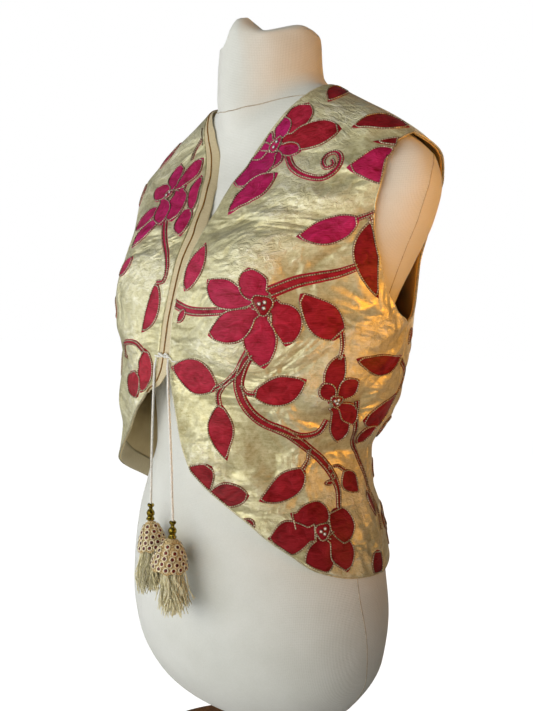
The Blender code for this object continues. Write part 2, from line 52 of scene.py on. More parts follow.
# cloth and its layers
LINING_THICK = 1.0
CLOTH_THICK = 1.4
CLOTH_FACE = LINING_THICK + GAP + CLOTH_THICK
SIDE_SEAM_ANGLE = 102.0
SHOULDER_ANGLE = 90.0
SEAM_HALF_ANGLE = 0.18         # of the gap between two panels at a seam
ARMHOLE_LOW, ARMHOLE_HIGH = 132, 277   # rings at the foot of the armhole and at its top
SEAM_CHANGE = 200              # ring above which a panel ends at its shoulder, not its side seam
NECK_LOW = 236                 # ring above which an opening's edge is the neckline
NECK_HIGH = 300                # ring above which only the neckline bounds a front
RING_CLEAR = 1.2               # of the embroidery inside a hem or a neckline
ANGLE_CLEAR = 0.5              # of the embroidery inside an opening or an armhole, in degrees
ROUND_MM = 2.6                 # along the cloth for one degree round the body, for its weave
# the right front's opening starts high, so its rows are bunched there to pass under the armhole
OPENING_BUNCHING = {"left": 1.0, "right": 1.5}

# bust
BUST_SPREAD = 84.0             # from the centre front to the point of the bust
BUST_WIDE = 50.0
BUST_TALL = 78.0
BUST_HEIGHT = 165.0
FORM_BUST = 21.0
COAT_BUST = 17.0

# the right front hangs straight down from the bust
SWING = 27.0
SWING_ANGLE = -55.0
SWING_SPREAD = 38.0
SWING_TOP = 95.0
SWING_DROP = 120.0

# form, stand and base
FORM_BOTTOM = -276
SHOULDER_POINT = 0.22          # how much more pointed the rings are where they pass the shoulders
POST_RADIUS = 17.0
BASE_RADIUS = 150.0
BASE_THICK = 22.0
COLLAR_RADIUS = 34.0
COLLAR_HEIGHT = 16.0

# tie
CORD_DIAMETER = 2.6
CORD_LAY = {"lobes": 3, "pitch": 2.6}  # three strands, and the length of one strand's step
CORD_HOLD = 4.5                # that a cord runs on below its tassel's head
KNOT_LENGTH = 22.0
KNOT_STRAND = 1.45
KNOT_TURNS = 1.0
KNOT_CENTRE = (1.4, -138.0, 97.5)
KNOT_SAG = 1.2                 # of its ends below its middle
KNOT_LOOP = [(11.0, -139.0, 97.0), (15.5, -139.6, 95.5), (20.0, -140.0, 92.6), (25.0, -139.8, 93.2)]
KNOT_LOOP_RADIUS = 0.55

# tassels
SKIRT_HEIGHT = 29.0
SKIRT_WALL = 0.9
SKIRT_CLEAR = 0.9              # under the bead, where the leaning skirt's top turns
SKIRT_ROWS = 26
SKIRT_SCALLOPS = 8
SCALLOP_DEPTH = 1.6
SCALLOP_PUFF = 0.35            # that each scallop stands out and in at the edge
LOOP_WIDE, LOOP_PITCH = 2.6, 1.9       # of the crocheted loops, round the skirt and down it
LOOP_LIFT, LOOP_WAVE, LOOP_STEPS = 0.15, 0.65, 6
LOOP_THREAD = 1.1
BEAD_HEIGHT = 16.0
HEAD_RADIUS = 4.6
HEAD_HEIGHT = 9.0
HEAD_DROP = 3.7                # from the top of the skirt to the head inside it
LOCKS, LOCK_STRANDS = 32, 11
LOCK_TURN = 2.4                # radians from one lock to the next, so that no two hang in line
STRAND_LENGTH = 62.0
STRAND_STEPS = 16
FLOSS_THREAD = 0.85
STRAND_SEED = 7


def rows_of(kind, *rows):
    """A table's rows, with the names of their kind."""
    return [kind(*row) for row in rows]


# rings of the body: heights at the front, side and back, half width, and depths forward and back
FORM_RINGS = [
    (FORM_BOTTOM, FORM_BOTTOM, FORM_BOTTOM, 66, 46, 52), (-268, -268, -268, 106, 70, 82),
    (-244, -244, -244, 135, 96, 106), (-210, -210, -210, 152, 112, 118),
    (-168, -168, -168, 157, 120, 119), (-120, -120, -120, 153, 122, 111),
    (-80, -80, -80, 145, 121, 101), (-40, -40, -40, 130, 117, 86), (0, 0, 0, 120, 109, 78),
    (50, 50, 50, 124, 110, 82), (100, 100, 100, 135, 114, 90), (145, 150, 150, 148, 118, 101),
    (185, 198, 198, 174, 108, 110), (215, 234, 236, 194, 97, 113), (240, 263, 272, 202, 86, 112),
    (261, 286, 300, 196, 76, 107), (277, 306, 323, 176, 67, 99), (290, 327, 338, 144, 61, 90),
    (304, 346, 353, 108, 57, 80), (317, 362, 366, 79, 56, 68), (330, 374, 378, 61, 61, 55),
    (345, 384, 388, 55, 65, 44), (385, 406, 409, 54, 66, 38), (418, 424, 426, 53.5, 65.5, 37),
    (430, 433, 434, 47, 59, 31), (435, 436, 436.5, 34, 46, 18),
]
COAT_RINGS = [
    (-140, -140, -140, 156, 132, 117), (-100, -100, -100, 153, 131, 111),
    (-60, -60, -60, 143, 130, 102), (-25, -25, -25, 130, 129, 91), (10, 10, 10, 129, 132, 90),
    (45, 45, 45, 146, 134, 107), (80, 80, 80, 158, 135, 114), (120, 122, 120, 165, 134, 121),
    (150, 156, 155, 168, 131, 121), (185, 198, 198, 178, 123, 121), (215, 234, 236, 195, 109, 120),
    (240, 266, 275, 204, 94, 119), (261, 289, 304, 199, 82, 113), (277, 308, 327, 179, 71, 105),
    (290, 329, 341, 147, 65, 96), (304, 348, 356, 111, 61, 85), (317, 364, 369, 82, 60, 73),
    (330, 377, 382, 65, 65, 60),
]

# edges of the panels: the angle round the body and the ring that each point lies on
Edge = namedtuple("Edge", "angle ring")
LEFT_OPENING = rows_of(Edge,
    (16.0, -10), (12.0, 15), (8.0, 49), (5.0, 82), (4.5, 99), (4.7, 134), (6.5, 166), (8.7, 190),
    (10.0, 213), (11.5, 238), (12.5, 261), (18.0, 284), (30.0, 302), (47.5, 312), (70.0, 316),
    (SHOULDER_ANGLE, 317),
)
LEFT_HEM = rows_of(Edge,
    (16.0, -10), (22.5, -23), (32.0, -39), (40.0, -53), (46.5, -66), (54.5, -79), (64.5, -94),
    (82.5, -104), (SIDE_SEAM_ANGLE, -107),
)
RIGHT_OPENING = rows_of(Edge,
    (-9.0, 60), (-5.0, 76), (-3.5, 99), (-2.5, 133), (-1.5, 168), (-2.0, 203), (-5.0, 237),
    (-11.0, 268), (-21.0, 293), (-35.0, 307), (-56.0, 315), (-75.0, 316), (-SHOULDER_ANGLE, 317),
)
RIGHT_HEM = rows_of(Edge,
    (-9.0, 60), (-12.5, 51), (-17.0, 41), (-26.0, 22), (-36.0, 3), (-50.0, -18), (-62.0, -36),
    (-76.0, -64), (-90.0, -92), (-SIDE_SEAM_ANGLE, -107),
)
FRONT_SIDE = rows_of(Edge,
    (SIDE_SEAM_ANGLE, -107), (SIDE_SEAM_ANGLE, -20), (SIDE_SEAM_ANGLE, 60), (SIDE_SEAM_ANGLE, 132),
    (91.0, 143), (82.0, 159), (74.0, 182), (67.0, 207), (64.5, 232), (68.5, 255), (78.0, 270),
    (SHOULDER_ANGLE, 277),
)
BACK_SIDE = rows_of(Edge,
    (SIDE_SEAM_ANGLE, -107), (SIDE_SEAM_ANGLE, -20), (SIDE_SEAM_ANGLE, 60), (SIDE_SEAM_ANGLE, 132),
    (112.0, 142), (120.0, 160), (126.0, 185), (127.0, 213), (121.0, 241), (108.0, 265),
    (SHOULDER_ANGLE, 277),
)
BACK_HEM = rows_of(Edge,
    (SIDE_SEAM_ANGLE, -107), (125.0, -98), (150.0, -90), (180.0, -88),
)
BACK_NECK = rows_of(Edge,
    (SHOULDER_ANGLE, 317), (115.0, 315), (145.0, 312), (180.0, 311),
)

# soft ridges of the cloth: angle and ring of one end and of the other, width, and height
FOLDS = [
    (96, 118, 60, 60, 13, 4.0), (104, 84, 70, 22, 12, 5.0), (30, 30, 48, -40, 13, 3.5),
    (58, 20, 70, -70, 13, 3.0), (112, 70, 150, 40, 12, 5.0), (118, 30, 160, 55, 12, 4.0),
    (180, 120, 176, -30, 15, 4.0), (236, 60, 205, 20, 12, 4.5), (250, 100, 222, 66, 12, 4.0),
    (-24, 190, -44, 120, 13, 3.5), (-12, 102, -38, 128, 11, 4.0), (-30, 70, -44, 20, 13, 4.0),
    (-66, 100, -60, -20, 14, 5.0), (-92, 90, -80, 10, 13, 4.0),
    # finer creases of the silk
    (97, 136, 72, 104, 8, 5.0), (99, 122, 78, 86, 8, 4.5), (90, 150, 68, 128, 7, 3.5),
    (84, 100, 66, 84, 8, 3.5), (96, 96, 80, 60, 8, 4.0), (12, 246, 27, 238, 6, 2.0),
    (13, 236, 30, 226, 5, 1.8), (12, 226, 24, 214, 5, 1.6), (11, 216, 20, 200, 6, 1.5),
    (34, 236, 60, 228, 9, 1.4), (30, 222, 56, 190, 10, 1.6), (22, 205, 34, 184, 8, 1.2),
    (9, 112, 20, 104, 5, 1.3), (22, 30, 40, 26, 6, 1.5), (18, 8, 36, 0, 6, 1.8),
    (26, -4, 48, -12, 7, 1.6), (34, -22, 60, -20, 6, 1.5), (44, -36, 70, -32, 6, 1.4),
    (44, 12, 62, 4, 6, 1.5), (50, 50, 62, 54, 6, 1.2), (36, 62, 44, 88, 7, 1.2),
    (50, 108, 64, 128, 8, 1.4), (82, 132, 72, 96, 8, 2.2), (92, 112, 80, 74, 8, 2.4),
    (86, 60, 74, 34, 8, 2.0), (98, 56, 88, 12, 9, 2.6), (76, 10, 92, -30, 9, 2.4),
    (94, -10, 98, -84, 9, 2.6), (84, -30, 88, -88, 8, 1.8), (74, 148, 66, 178, 7, 1.5),
    (60, 268, 76, 292, 8, 1.4), (40, 296, 58, 300, 6, 1.0), (-8, 108, -26, 116, 6, 1.8),
    (-6, 92, -24, 84, 6, 1.8), (-8, 84, -20, 70, 5, 1.5), (-20, 150, -34, 146, 7, 1.2),
    (-14, 214, -34, 208, 7, 1.3), (-12, 196, -26, 186, 6, 1.2), (-44, 250, -34, 222, 7, 1.3),
    (-72, 130, -84, 84, 9, 2.4), (-80, 40, -96, 8, 8, 2.2), (-96, 100, -104, 40, 9, 2.4),
    (-70, 150, -62, 186, 8, 1.5), (-98, -20, -94, -86, 9, 2.2), (-48, 150, -60, 110, 8, 1.6),
    (120, 100, 142, 74, 8, 2.0), (110, 60, 128, 30, 8, 2.2), (108, 0, 126, -60, 10, 2.4),
    (130, 10, 140, -70, 11, 2.2), (150, 70, 178, 62, 9, 2.0), (156, 30, 186, 40, 8, 1.8),
    (150, -20, 158, -78, 12, 2.2), (200, -10, 206, -80, 12, 2.4), (222, 20, 236, -60, 10, 2.2),
    (190, 90, 214, 78, 9, 1.8), (240, 70, 228, 36, 8, 2.0), (128, 170, 150, 190, 9, 1.6),
    (232, 176, 212, 198, 9, 1.6), (140, 250, 168, 262, 10, 1.2), (200, 248, 226, 266, 10, 1.2),
    (172, 180, 188, 236, 12, 1.0),
]

# route of each cord's centre line, from the knot down to its bead
CORD_ROUTES = {
    "right": [
        (-8.0, -138.2, 94.2), (-9.4, -139.2, 84.0),
        (-9.8, -139.4, 52.0), (-9.6, -139.6, 4.0),
        (-9.0, -139.6, -30.0), (-8.6, -139.6, -48.5),
    ],
    "left": [
        (11.0, -138.2, 94.2), (14.8, -141.6, 85.0),
        (19.4, -143.0, 56.0), (25.8, -143.6, 9.0),
        (30.6, -144.0, -34.0), (33.0, -144.2, -55.5),
    ],
}
# way that each tassel leans below its bead, and how widely its skirt is spread
SKIRT_LEAN = {"right": (0.22, 0.0, -1.0), "left": (-0.12, 0.0, -1.0)}
TASSEL_LEAN = {"right": (0.04, 0.0, -1.0), "left": (0.12, 0.0, -1.0)}
SKIRT_SPREAD = {"right": 1.0, "left": 1.2}

# profiles of the turned pieces: radius, and distance down from the top
BEAD_PROFILE = [
    (2.6, 0.0), (3.4, 1.4), (2.9, 2.8), (1.9, 3.8), (1.8, 5.4),
    (3.0, 6.8), (4.0, 9.0), (3.9, 10.8), (3.0, 12.4), (3.1, 13.6),
    (4.2, 15.0), (4.1, BEAD_HEIGHT),
]
SKIRT_PROFILE = [
    (2.4, 0.0), (6.0, 4.0), (9.6, 11.0), (12.4, 19.0), (14.4, SKIRT_HEIGHT),
]


# --------------------------------------------------------------- edges moved, and embroidery tables


def moved_edge(edge, rings, degrees):
    """An edge moved round the body by the degrees given for its rings."""
    return [point._replace(angle=point.angle + float(np.interp(point.ring, rings, degrees)))
            for point in edge]


# the right front's edge hangs a little past its lining where it stands off the form
RIGHT_OPENING = moved_edge(RIGHT_OPENING, (60, 76, 168, 293, 317), (0.0, 1.4, 2.2, 2.6, 0.0))

# the fronts are cut a little further forward than their solids near the top of the armhole, and a
# little less far forward below it
FRONT_SIDE = moved_edge(FRONT_SIDE, (132, 159, 182, 207, 232, 255, 270, 277),
                        (0, 1.5, 2.3, 0.3, -0.7, -3.2, -5.0, 0))

# the right front's hem falls lower than its solid's between the front and the side, and is a little
# higher by the side seam
HEM_MOVES = ((17, 26, 36, 50, 62, 76, 90, 102), (0, -3, -7, -11, -9, 1, 4, 0))
RIGHT_HEM = [point._replace(ring=point.ring + float(np.interp(-point.angle, *HEM_MOVES)))
             for point in RIGHT_HEM]

# leaves and petals cut from red silk: base and tip, full width in millimetres, bend to the left as
# a share of the length, outline, and tone from 0, cerise, to 1, scarlet
Leaf = namedtuple("Leaf", "angle ring tip_angle tip_ring wide bend outline tone")
LEFT_LEAVES = rows_of(Leaf,
    (33.0, 293, 57.7, 309, 35, 0.05, "petal", 0.45), (33.6, 289, 56.5, 285, 37, 0, "petal", 0.6),
    (31.0, 287, 37.8, 278, 19, 0, "petal", 0.1), (28.8, 286, 23.7, 268, 25, 0.1, "petal", 0.05),
    (27.3, 287, 13.2, 261, 45, 0.06, "petal", 0), (28.6, 290, 18.0, 284, 24, -0.1, "petal", 0),
    (29.4, 292, 28.4, 309, 16, 0, "petal", 0), (30.8, 292, 41.4, 309, 22, -0.1, "petal", 0),
    (30.1, 262, 18.5, 227, 32, -0.08, "leaf", 0.12), (61.0, 214, 44.6, 201, 25, 0.05, "leaf", 0.15),
    (79.0, 248, 51.8, 254, 33, 0, "petal", 0.2), (84.0, 265, 62.5, 271, 12, 0, "leaf", 0.85),
    (89.0, 279, 60.0, 284, 29, -0.1, "leaf", 0.85), (95.0, 315, 65.4, 304, 22, 0, "leaf", 0.8),
    (66.0, 213, 79.8, 153, 25, -0.08, "leaf", 0.95), (39.8, 150, 21.6, 168, 27, 0.1, "petal", 0.3),
    (41.6, 151, 35.3, 177, 29, 0.1, "petal", 0.32), (43.0, 148, 48.6, 113, 30, 0.2, "petal", 0.5),
    (40.6, 143, 42.4, 93, 32, -0.04, "petal", 0.4), (39.9, 145, 23.5, 120, 29, 0.08, "petal", 0.4),
    (66.7, 123, 51.3, 156, 32, 0.04, "broad", 0.65), (10.0, 158, 14.8, 202, 30, -0.08, "leaf", 0.3),
    (12.2, 142, 7.8, 129, 11, 0, "leaf", 0.4), (26.9, 72, 5.6, 87, 34, -0.05, "leaf", 0.5),
    (27.6, 60, 33.2, 5, 26, -0.05, "leaf", 0.55), (39.0, 70, 56.6, 85, 30, -0.08, "leaf", 0.6),
    (67.8, 67, 68.4, 108, 22, 0.12, "petal", 0.75), (68.8, 66, 75.9, 86, 21, 0.06, "petal", 0.8),
    (67.3, 67, 62.0, 82, 18, 0, "petal", 0.75), (68.3, 62, 76.1, 26, 21, 0.06, "petal", 0.85),
    (69.2, 64, 79.5, 43, 19, 0.1, "petal", 0.85), (63.8, 1, 45.2, -32, 28, 0.08, "leaf", 0.7),
    (81.8, -4, 91.9, -30, 21, -0.05, "leaf", 0.9), (77.6, -16, 72.7, -16, 7, 0, "leaf", 0.9),
    (77.6, -14, 76.1, -5, 6, 0, "leaf", 0.9), (15.0, -28, 26.4, -2, 34, 0, "broad", 0.85),
    (41.6, -27, 23.8, -29, 26, 0, "leaf", 0.9), (42.2, -56, 38.5, -48, 9, 0, "leaf", 0.9),
    (57.3, -50, 74.0, -46, 30, 0.08, "petal", 0.85), (65.6, -60, 46.5, -67, 32, 0, "petal", 0.82),
    (68.7, -63, 63.9, -99, 32, 0, "petal", 0.88), (71.0, -62, 77.4, -97, 27, 0.1, "petal", 0.88),
    (76.0, -41, 78.4, -73, 30, 0.05, "broad", 0.85), (73.0, 104, 100.0, 106, 21, -0.12, "leaf", 1),
    (83.2, 47, 103.5, 71, 30, -0.15, "leaf", 1), (87.2, 22, 95.0, 41, 17, 0.1, "leaf", 1),
    (96.5, -84, 96.2, -112, 21, 0, "broad", 1), (101.0, -30, 103.6, -56, 15, 0, "leaf", 0.95),
)
RIGHT_LEAVES = rows_of(Leaf,
    (-23.4, 261, -35.5, 285, 26, 0, "petal", 0.05), (-21.0, 258, -20.4, 293, 31, 0, "petal", 0.1),
    (-24.2, 254, -38.5, 258, 23, 0, "broad", 0.1), (-24.5, 240, -36.9, 217, 32, 0.05, "leaf", 0.05),
    (-20.0, 229, -28.6, 197, 26, -0.05, "leaf", 0), (-13.0, 276, -5.0, 234, 21, 0, "leaf", 0.12),
    (-9.0, 241, -3.4, 211, 26, 0, "leaf", 0.1), (-19.5, 262, -13.0, 226, 33, 0, "petal", 0.08),
    (-26.0, 250, -17.0, 222, 24, 0, "petal", 0.05),
    (-67.6, 294, -56.9, 277, 24, 0.05, "leaf", 0.15),
    (-23.7, 189, -31.1, 169, 17, 0.05, "leaf", 0.2),
    (-6.9, 167, -11.8, 117, 22, 0.17, "leaf", 0.45), (-9.6, 102, -12.9, 57, 28, 0.12, "leaf", 0.55),
    (-20.1, 77, -15.1, 52, 32, -0.05, "broad", 0.6), (-42.5, 309, -39.5, 328, 21, 0, "leaf", 0.15),
    (-47.0, 148, -34.0, 128, 20, 0.1, "leaf", 0.5), (-58.0, 166, -66.0, 206, 28, -0.1, "leaf", 0.4),
    (-60.0, 112, -78.0, 124, 28, 0.1, "leaf", 0.6), (-50.0, 92, -38.0, 66, 22, 0.1, "leaf", 0.6),
    (-84.0, 92, -99.0, 108, 22, 0.1, "leaf", 0.8), (-64.0, 4, -52.0, 26, 25, 0.1, "leaf", 0.8),
    (-88.0, 2, -98.0, -26, 22, 0.1, "leaf", 0.9), (-72.0, -36, -66.0, -14, 20, -0.1, "leaf", 0.9),
    (-98.0, 44, -92.0, 22, 14, 0.0, "leaf", 0.9), (-62.0, 262, -56.0, 238, 19, 0.1, "leaf", 0.2),
)
BACK_LEAVES = rows_of(Leaf,
    (110.0, 130, 106.5, 115, 14, 0.0, "leaf", 1.0), (122.5, -51, 121.0, -76, 12, 0.0, "leaf", 1.0),
    (152.0, 20, 168.0, 34, 30, 0.1, "leaf", 0.8), (140.0, 52, 124.0, 66, 28, -0.1, "leaf", 0.85),
    (152.0, 96, 168.0, 84, 28, -0.1, "leaf", 0.7), (136.0, 118, 122.0, 112, 25, 0.1, "leaf", 0.8),
    (160.0, 206, 174.0, 196, 28, 0.1, "leaf", 0.45), (134.0, 214, 130.0, 190, 22, 0.1, "leaf", 0.5),
    (152.0, 236, 168.0, 252, 30, -0.1, "leaf", 0.3), (136.0, 248, 118.0, 252, 25, 0.1, "leaf", 0.3),
    (130.0, 280, 112.0, 290, 22, -0.1, "leaf", 0.2),
    (152.0, 296, 132.0, 304, 22, 0.1, "leaf", 0.15), (160.0, -10, 174.0, -24, 28, 0.1, "leaf", 0.9),
    (148.0, -46, 162.0, -62, 28, 0.1, "leaf", 0.95), (112.0, 24, 118.0, 44, 20, 0.1, "leaf", 0.95),
    (112.0, -6, 126.0, -14, 22, -0.1, "leaf", 0.95), (174.0, 284, 168.0, 304, 20, 0.1, "leaf", 0.1),
)

# stems: the points of each path, its width, and its tone
Stem = namedtuple("Stem", "path wide tone")
LEFT_STEMS = [
    Stem([(32.6, 281), (34.7, 264), (40.0, 253), (45.2, 249), (48.7, 255), (49.8, 263),
          (48.5, 270), (45.8, 269), (44.1, 264), (45.5, 257.5), (47.6, 259), (46.9, 264)],
         8.5, 0.3),
    Stem([(60.6, 213), (63.1, 215), (66.5, 218.5)], 5.0, 0.3),
    Stem([(64.0, 215), (66.1, 209), (67.6, 203)], 4.5, 0.3),
    Stem([(42.5, 157), (50.6, 166), (56.2, 169), (62.2, 172), (67.9, 177)], 13.0, 0.55),
    Stem([(66.5, 125), (67.5, 115), (67.0, 103)], 6.0, 0.8),
    Stem([(3.5, 148), (13.5, 141), (27.0, 141), (37.0, 144)], 10.5, 0.4),
    Stem([(38.0, 106), (36.4, 101), (33.4, 88), (30.0, 79), (25.5, 72)], 8.0, 0.5),
    Stem([(27.6, 55), (26.9, 67), (28.9, 76), (32.0, 84)], 7.0, 0.5),
    Stem([(40.5, 70), (37.0, 71), (35.0, 78)], 6.0, 0.5),
    Stem([(38.0, 108), (35.2, 92), (34.2, 78), (35.9, 64), (40.0, 51), (46.0, 42), (51.6, 38),
          (60.0, 32), (66.0, 36), (67.6, 48)], 12.0, 0.65),
    Stem([(48.5, 40), (54.0, 35), (62.0, 24), (70.8, 8), (76.8, -9), (79.9, -25), (78.8, -42)],
         11.0, 0.75),
    Stem([(63.0, -1), (65.5, 8), (65.5, 19)], 5.5, 0.7),
    Stem([(82.5, -5), (78.5, 0), (74.5, -2)], 5.0, 0.8),
    Stem([(77.8, 66), (81.4, 39), (89.6, 10), (94.9, -4), (103, -24), (109, -45), (107, -70)],
         6.5, 1.0),
]
RIGHT_STEMS = [
    Stem([(-16.3, 225), (-11.1, 207), (-5.5, 190), (-3.3, 178), (-3.4, 168), (-7.0, 166)],
         9.0, 0.3),
    Stem([(-31.3, 316), (-35.5, 309), (-34.0, 299), (-28.8, 289)], 8.0, 0.15),
    Stem([(-10.0, 98), (-14.7, 106), (-19.0, 107), (-25.2, 102), (-26.6, 92), (-23.2, 90)],
         7.0, 0.5),
    Stem([(-47, 148), (-52, 130), (-56, 110), (-50, 92), (-54, 62), (-66, 34), (-64, 4)],
         10.5, 0.6),
    Stem([(-60, 112), (-72, 96), (-84, 92)], 8.5, 0.8),
    Stem([(-66, 34), (-78, 18), (-88, 2)], 8.5, 0.9),
    Stem([(-64, 4), (-72, -16), (-72, -36)], 8.5, 0.9),
    Stem([(-58, 166), (-52, 156), (-47, 148)], 8.5, 0.5),
]
BACK_STEMS = [
    Stem([(101.0, 101), (111.0, 85), (104.5, 69)], 7.5, 1.0),
    Stem([(150, -86), (144, -50), (152, -10), (152, 20), (140, 52), (152, 96), (146, 128)],
         11.0, 0.85),
    Stem([(146, 176), (134, 214), (152, 236), (136, 248), (130, 280), (152, 296), (170, 300)],
         10.5, 0.4),
    Stem([(152, 96), (136, 118)], 8.5, 0.8),
    Stem([(134, 200), (160, 206)], 8.5, 0.5),
    Stem([(140, 52), (122, 34), (112, 24)], 8.5, 0.9),
    Stem([(144, -50), (126, -30), (112, -6)], 8.5, 0.95),
    Stem([(152, -20), (160, -10)], 8.5, 0.9),
]

# whole flowers that no table of petals gives: centre, reach of the petals, their number and turn
Flower = namedtuple("Flower", "angle ring reach petals turn tone")
BACK_FLOWERS = [
    Flower(146, 152, 40, 6, 20, 0.6),
    Flower(127, -74, 30, 5, 80, 0.95),
    Flower(174, 228, 30, 5, 10, 0.35),
]
RIGHT_FLOWERS = [Flower(-80, 58, 34, 6, 40, 0.75), Flower(-84, -58, 30, 5, 10, 0.95)]

# centres of the flowers: their half width, and how many stones they carry
Eye = namedtuple("Eye", "angle ring reach stones")
EYES = {
    "left": [Eye(30.5, 289, 8.5, 2), Eye(41.0, 147, 10.0, 3), Eye(68.5, 67, 6.5, 3),
             Eye(68.4, -59, 8.5, 3)],
    "right": [Eye(-23.8, 254, 6.8, 2)],
    "back": [],
}


# ------------------------------------------------------------------------------ shapes of the cloth

def run_along(points):
    """Distance of each point from the first, along the line through them."""
    return np.concatenate([[0.0], np.cumsum(np.linalg.norm(np.diff(points, axis=0), axis=1))])


def smooth_table(keys, values, at):
    """Monotone cubic through table rows, so that a curve never overshoots its rows."""
    keys = np.asarray(keys, float)
    values = np.asarray(values, float)
    step = np.diff(keys)
    slope = np.diff(values, axis=0) / step[:, None]
    tangent = np.zeros_like(values)
    tangent[0] = slope[0]
    tangent[-1] = slope[-1]
    before, after = slope[:-1], slope[1:]
    weight_a = (2 * step[1:] + step[:-1])[:, None]
    weight_b = (step[1:] + 2 * step[:-1])[:, None]
    same_way = before * after > 0
    safe_before = np.where(same_way, before, 1.0)
    safe_after = np.where(same_way, after, 1.0)
    mean = (weight_a + weight_b) / (weight_a / safe_before + weight_b / safe_after)
    tangent[1:-1] = np.where(same_way, mean, 0.0)
    at = np.clip(np.asarray(at, float), keys[0], keys[-1])
    row = np.clip(np.searchsorted(keys, at, side="right") - 1, 0, len(keys) - 2)
    width = step[row]
    t = ((at - keys[row]) / width)[..., None]
    width = width[..., None]
    return (
        (1 + 2 * t) * (1 - t) ** 2 * values[row]
        + t * (1 - t) ** 2 * width * tangent[row]
        + t * t * (3 - 2 * t) * values[row + 1]
        + t * t * (t - 1) * width * tangent[row + 1]
    )


def body_point(rings, bust, angle, ring):
    """Points on the rings, with the angle in degrees."""
    angle, ring = np.broadcast_arrays(np.radians(angle), np.asarray(ring, float))
    table = np.array(rings, float)
    rows = smooth_table(table[:, 0], table[:, 1:], ring)
    side, back, half_width, front_depth, back_depth = np.moveaxis(rows, -1, 0)
    cosine, sine = np.cos(angle), np.sin(angle)
    is_front = cosine > 0
    # the rings are more pointed at the sides where they pass over the shoulders
    point = (1 + SHOULDER_POINT * np.clip((ring - 150) / 90, 0, 1)
             * np.clip((345 - ring) / 40, 0, 1))
    x = half_width * np.sign(sine) * np.abs(sine) ** point
    y = np.where(is_front, -front_depth * cosine, -back_depth * cosine)
    z = side + (np.where(is_front, ring, back) - side) * cosine ** 2
    across = np.exp(-(((np.abs(x) - BUST_SPREAD) / BUST_WIDE) ** 2))
    upright = np.exp(-(((z - BUST_HEIGHT) / BUST_TALL) ** 2))
    y = y - bust * across * upright * np.clip(cosine * 1.6, 0, 1)
    return np.stack([x, y, z], -1)


def coat_point(angle, ring):
    """Inner face of the lining."""
    points = body_point(COAT_RINGS, COAT_BUST, angle, ring)
    turn = np.radians(angle) * np.ones_like(points[..., 0])
    wrapped = (np.degrees(turn) + 180) % 360 - 180
    near = np.exp(-(((wrapped - SWING_ANGLE) / SWING_SPREAD) ** 2))
    drop = np.clip((SWING_TOP - points[..., 2]) / SWING_DROP, 0, 1)
    outward = np.stack([np.sin(turn), -np.cos(turn), np.zeros_like(turn)], -1)
    return points + outward * (SWING * near * drop)[..., None]


def coat_normal(angle, ring):
    """Direction out of the cloth, from the slopes of the surface."""
    round_body = coat_point(angle + 0.6, ring) - coat_point(angle - 0.6, ring)
    upward = coat_point(angle, ring + 0.8) - coat_point(angle, ring - 0.8)
    normal = np.cross(round_body, upward)
    return normal / np.linalg.norm(normal, axis=-1, keepdims=True)


def edge_curve(edge, count, bunching=1.0):
    """A table's curve as count + 1 points of angle and ring, even or bunched at its start."""
    rows = np.array(edge, float)
    places = coat_point(rows[:, 0], rows[:, 1])
    along = run_along(places)
    return smooth_table(along, rows, np.linspace(0, 1, count + 1) ** bunching * along[-1])


def mirror_edge(edge):
    return [Edge(-point.angle, point.ring) for point in edge]


def round_back(edge):
    """The other half of an edge of the back, as angles past 180 degrees."""
    return [Edge(360 - point.angle, point.ring) for point in reversed(edge)]


def both_halves(edge):
    """An edge of the back from the one side to the other."""
    return edge + round_back(edge)[1:]


def patch(bottom, top, left, right):
    """Grid of angle and ring inside four edges that meet at their ends."""
    columns, rows = len(bottom) - 1, len(left) - 1
    u = np.linspace(0, 1, columns + 1)[None, :, None]
    v = np.linspace(0, 1, rows + 1)[:, None, None]
    across = (1 - u) * left[:, None, :] + u * right[:, None, :]
    upward = (1 - v) * bottom[None, :, :] + v * top[None, :, :]
    corners = (
        (1 - u) * (1 - v) * bottom[0] + u * (1 - v) * bottom[-1]
        + (1 - u) * v * top[0] + u * v * top[-1]
    )
    return across + upward - corners


FOLD_ENDS = [(coat_point(angle, ring), coat_point(end_angle, end_ring), wide, high)
             for angle, ring, end_angle, end_ring, wide, high in FOLDS]


def front_grid(side, columns, rows):
    opening = {"left": LEFT_OPENING, "right": RIGHT_OPENING}[side]
    hem = {"left": LEFT_HEM, "right": RIGHT_HEM}[side]
    flank = {"left": FRONT_SIDE, "right": mirror_edge(FRONT_SIDE)}[side]
    shoulder = [opening[-1], flank[-1]]
    grid = patch(
        edge_curve(hem, columns), edge_curve(shoulder, columns),
        edge_curve(opening, rows, OPENING_BUNCHING[side]), edge_curve(flank, rows),
    )
    sign = 1 if side == "left" else -1
    limit = np.where(grid[..., 1] > SEAM_CHANGE, SHOULDER_ANGLE, SIDE_SEAM_ANGLE) - SEAM_HALF_ANGLE
    grid[..., 0] = sign * np.minimum(grid[..., 0] * sign, limit)
    return grid


def back_grid(columns, rows, shoulder_rows):
    """Rows follow the rings, so each side runs up the side seam, the armhole and the shoulder."""
    shoulder = [BACK_SIDE[-1], BACK_NECK[0]]
    armhole = edge_curve(BACK_SIDE, rows - shoulder_rows)
    near_side = np.concatenate([armhole, edge_curve(shoulder, shoulder_rows)[1:]])
    far_side = near_side.copy()
    far_side[:, 0] = 360 - far_side[:, 0]
    grid = patch(edge_curve(both_halves(BACK_HEM), columns),
                 edge_curve(both_halves(BACK_NECK), columns), near_side, far_side)
    limit = np.where(grid[..., 1] > SEAM_CHANGE, SHOULDER_ANGLE, SIDE_SEAM_ANGLE) + SEAM_HALF_ANGLE
    grid[..., 0] = np.clip(grid[..., 0], limit, 360 - limit)
    return grid


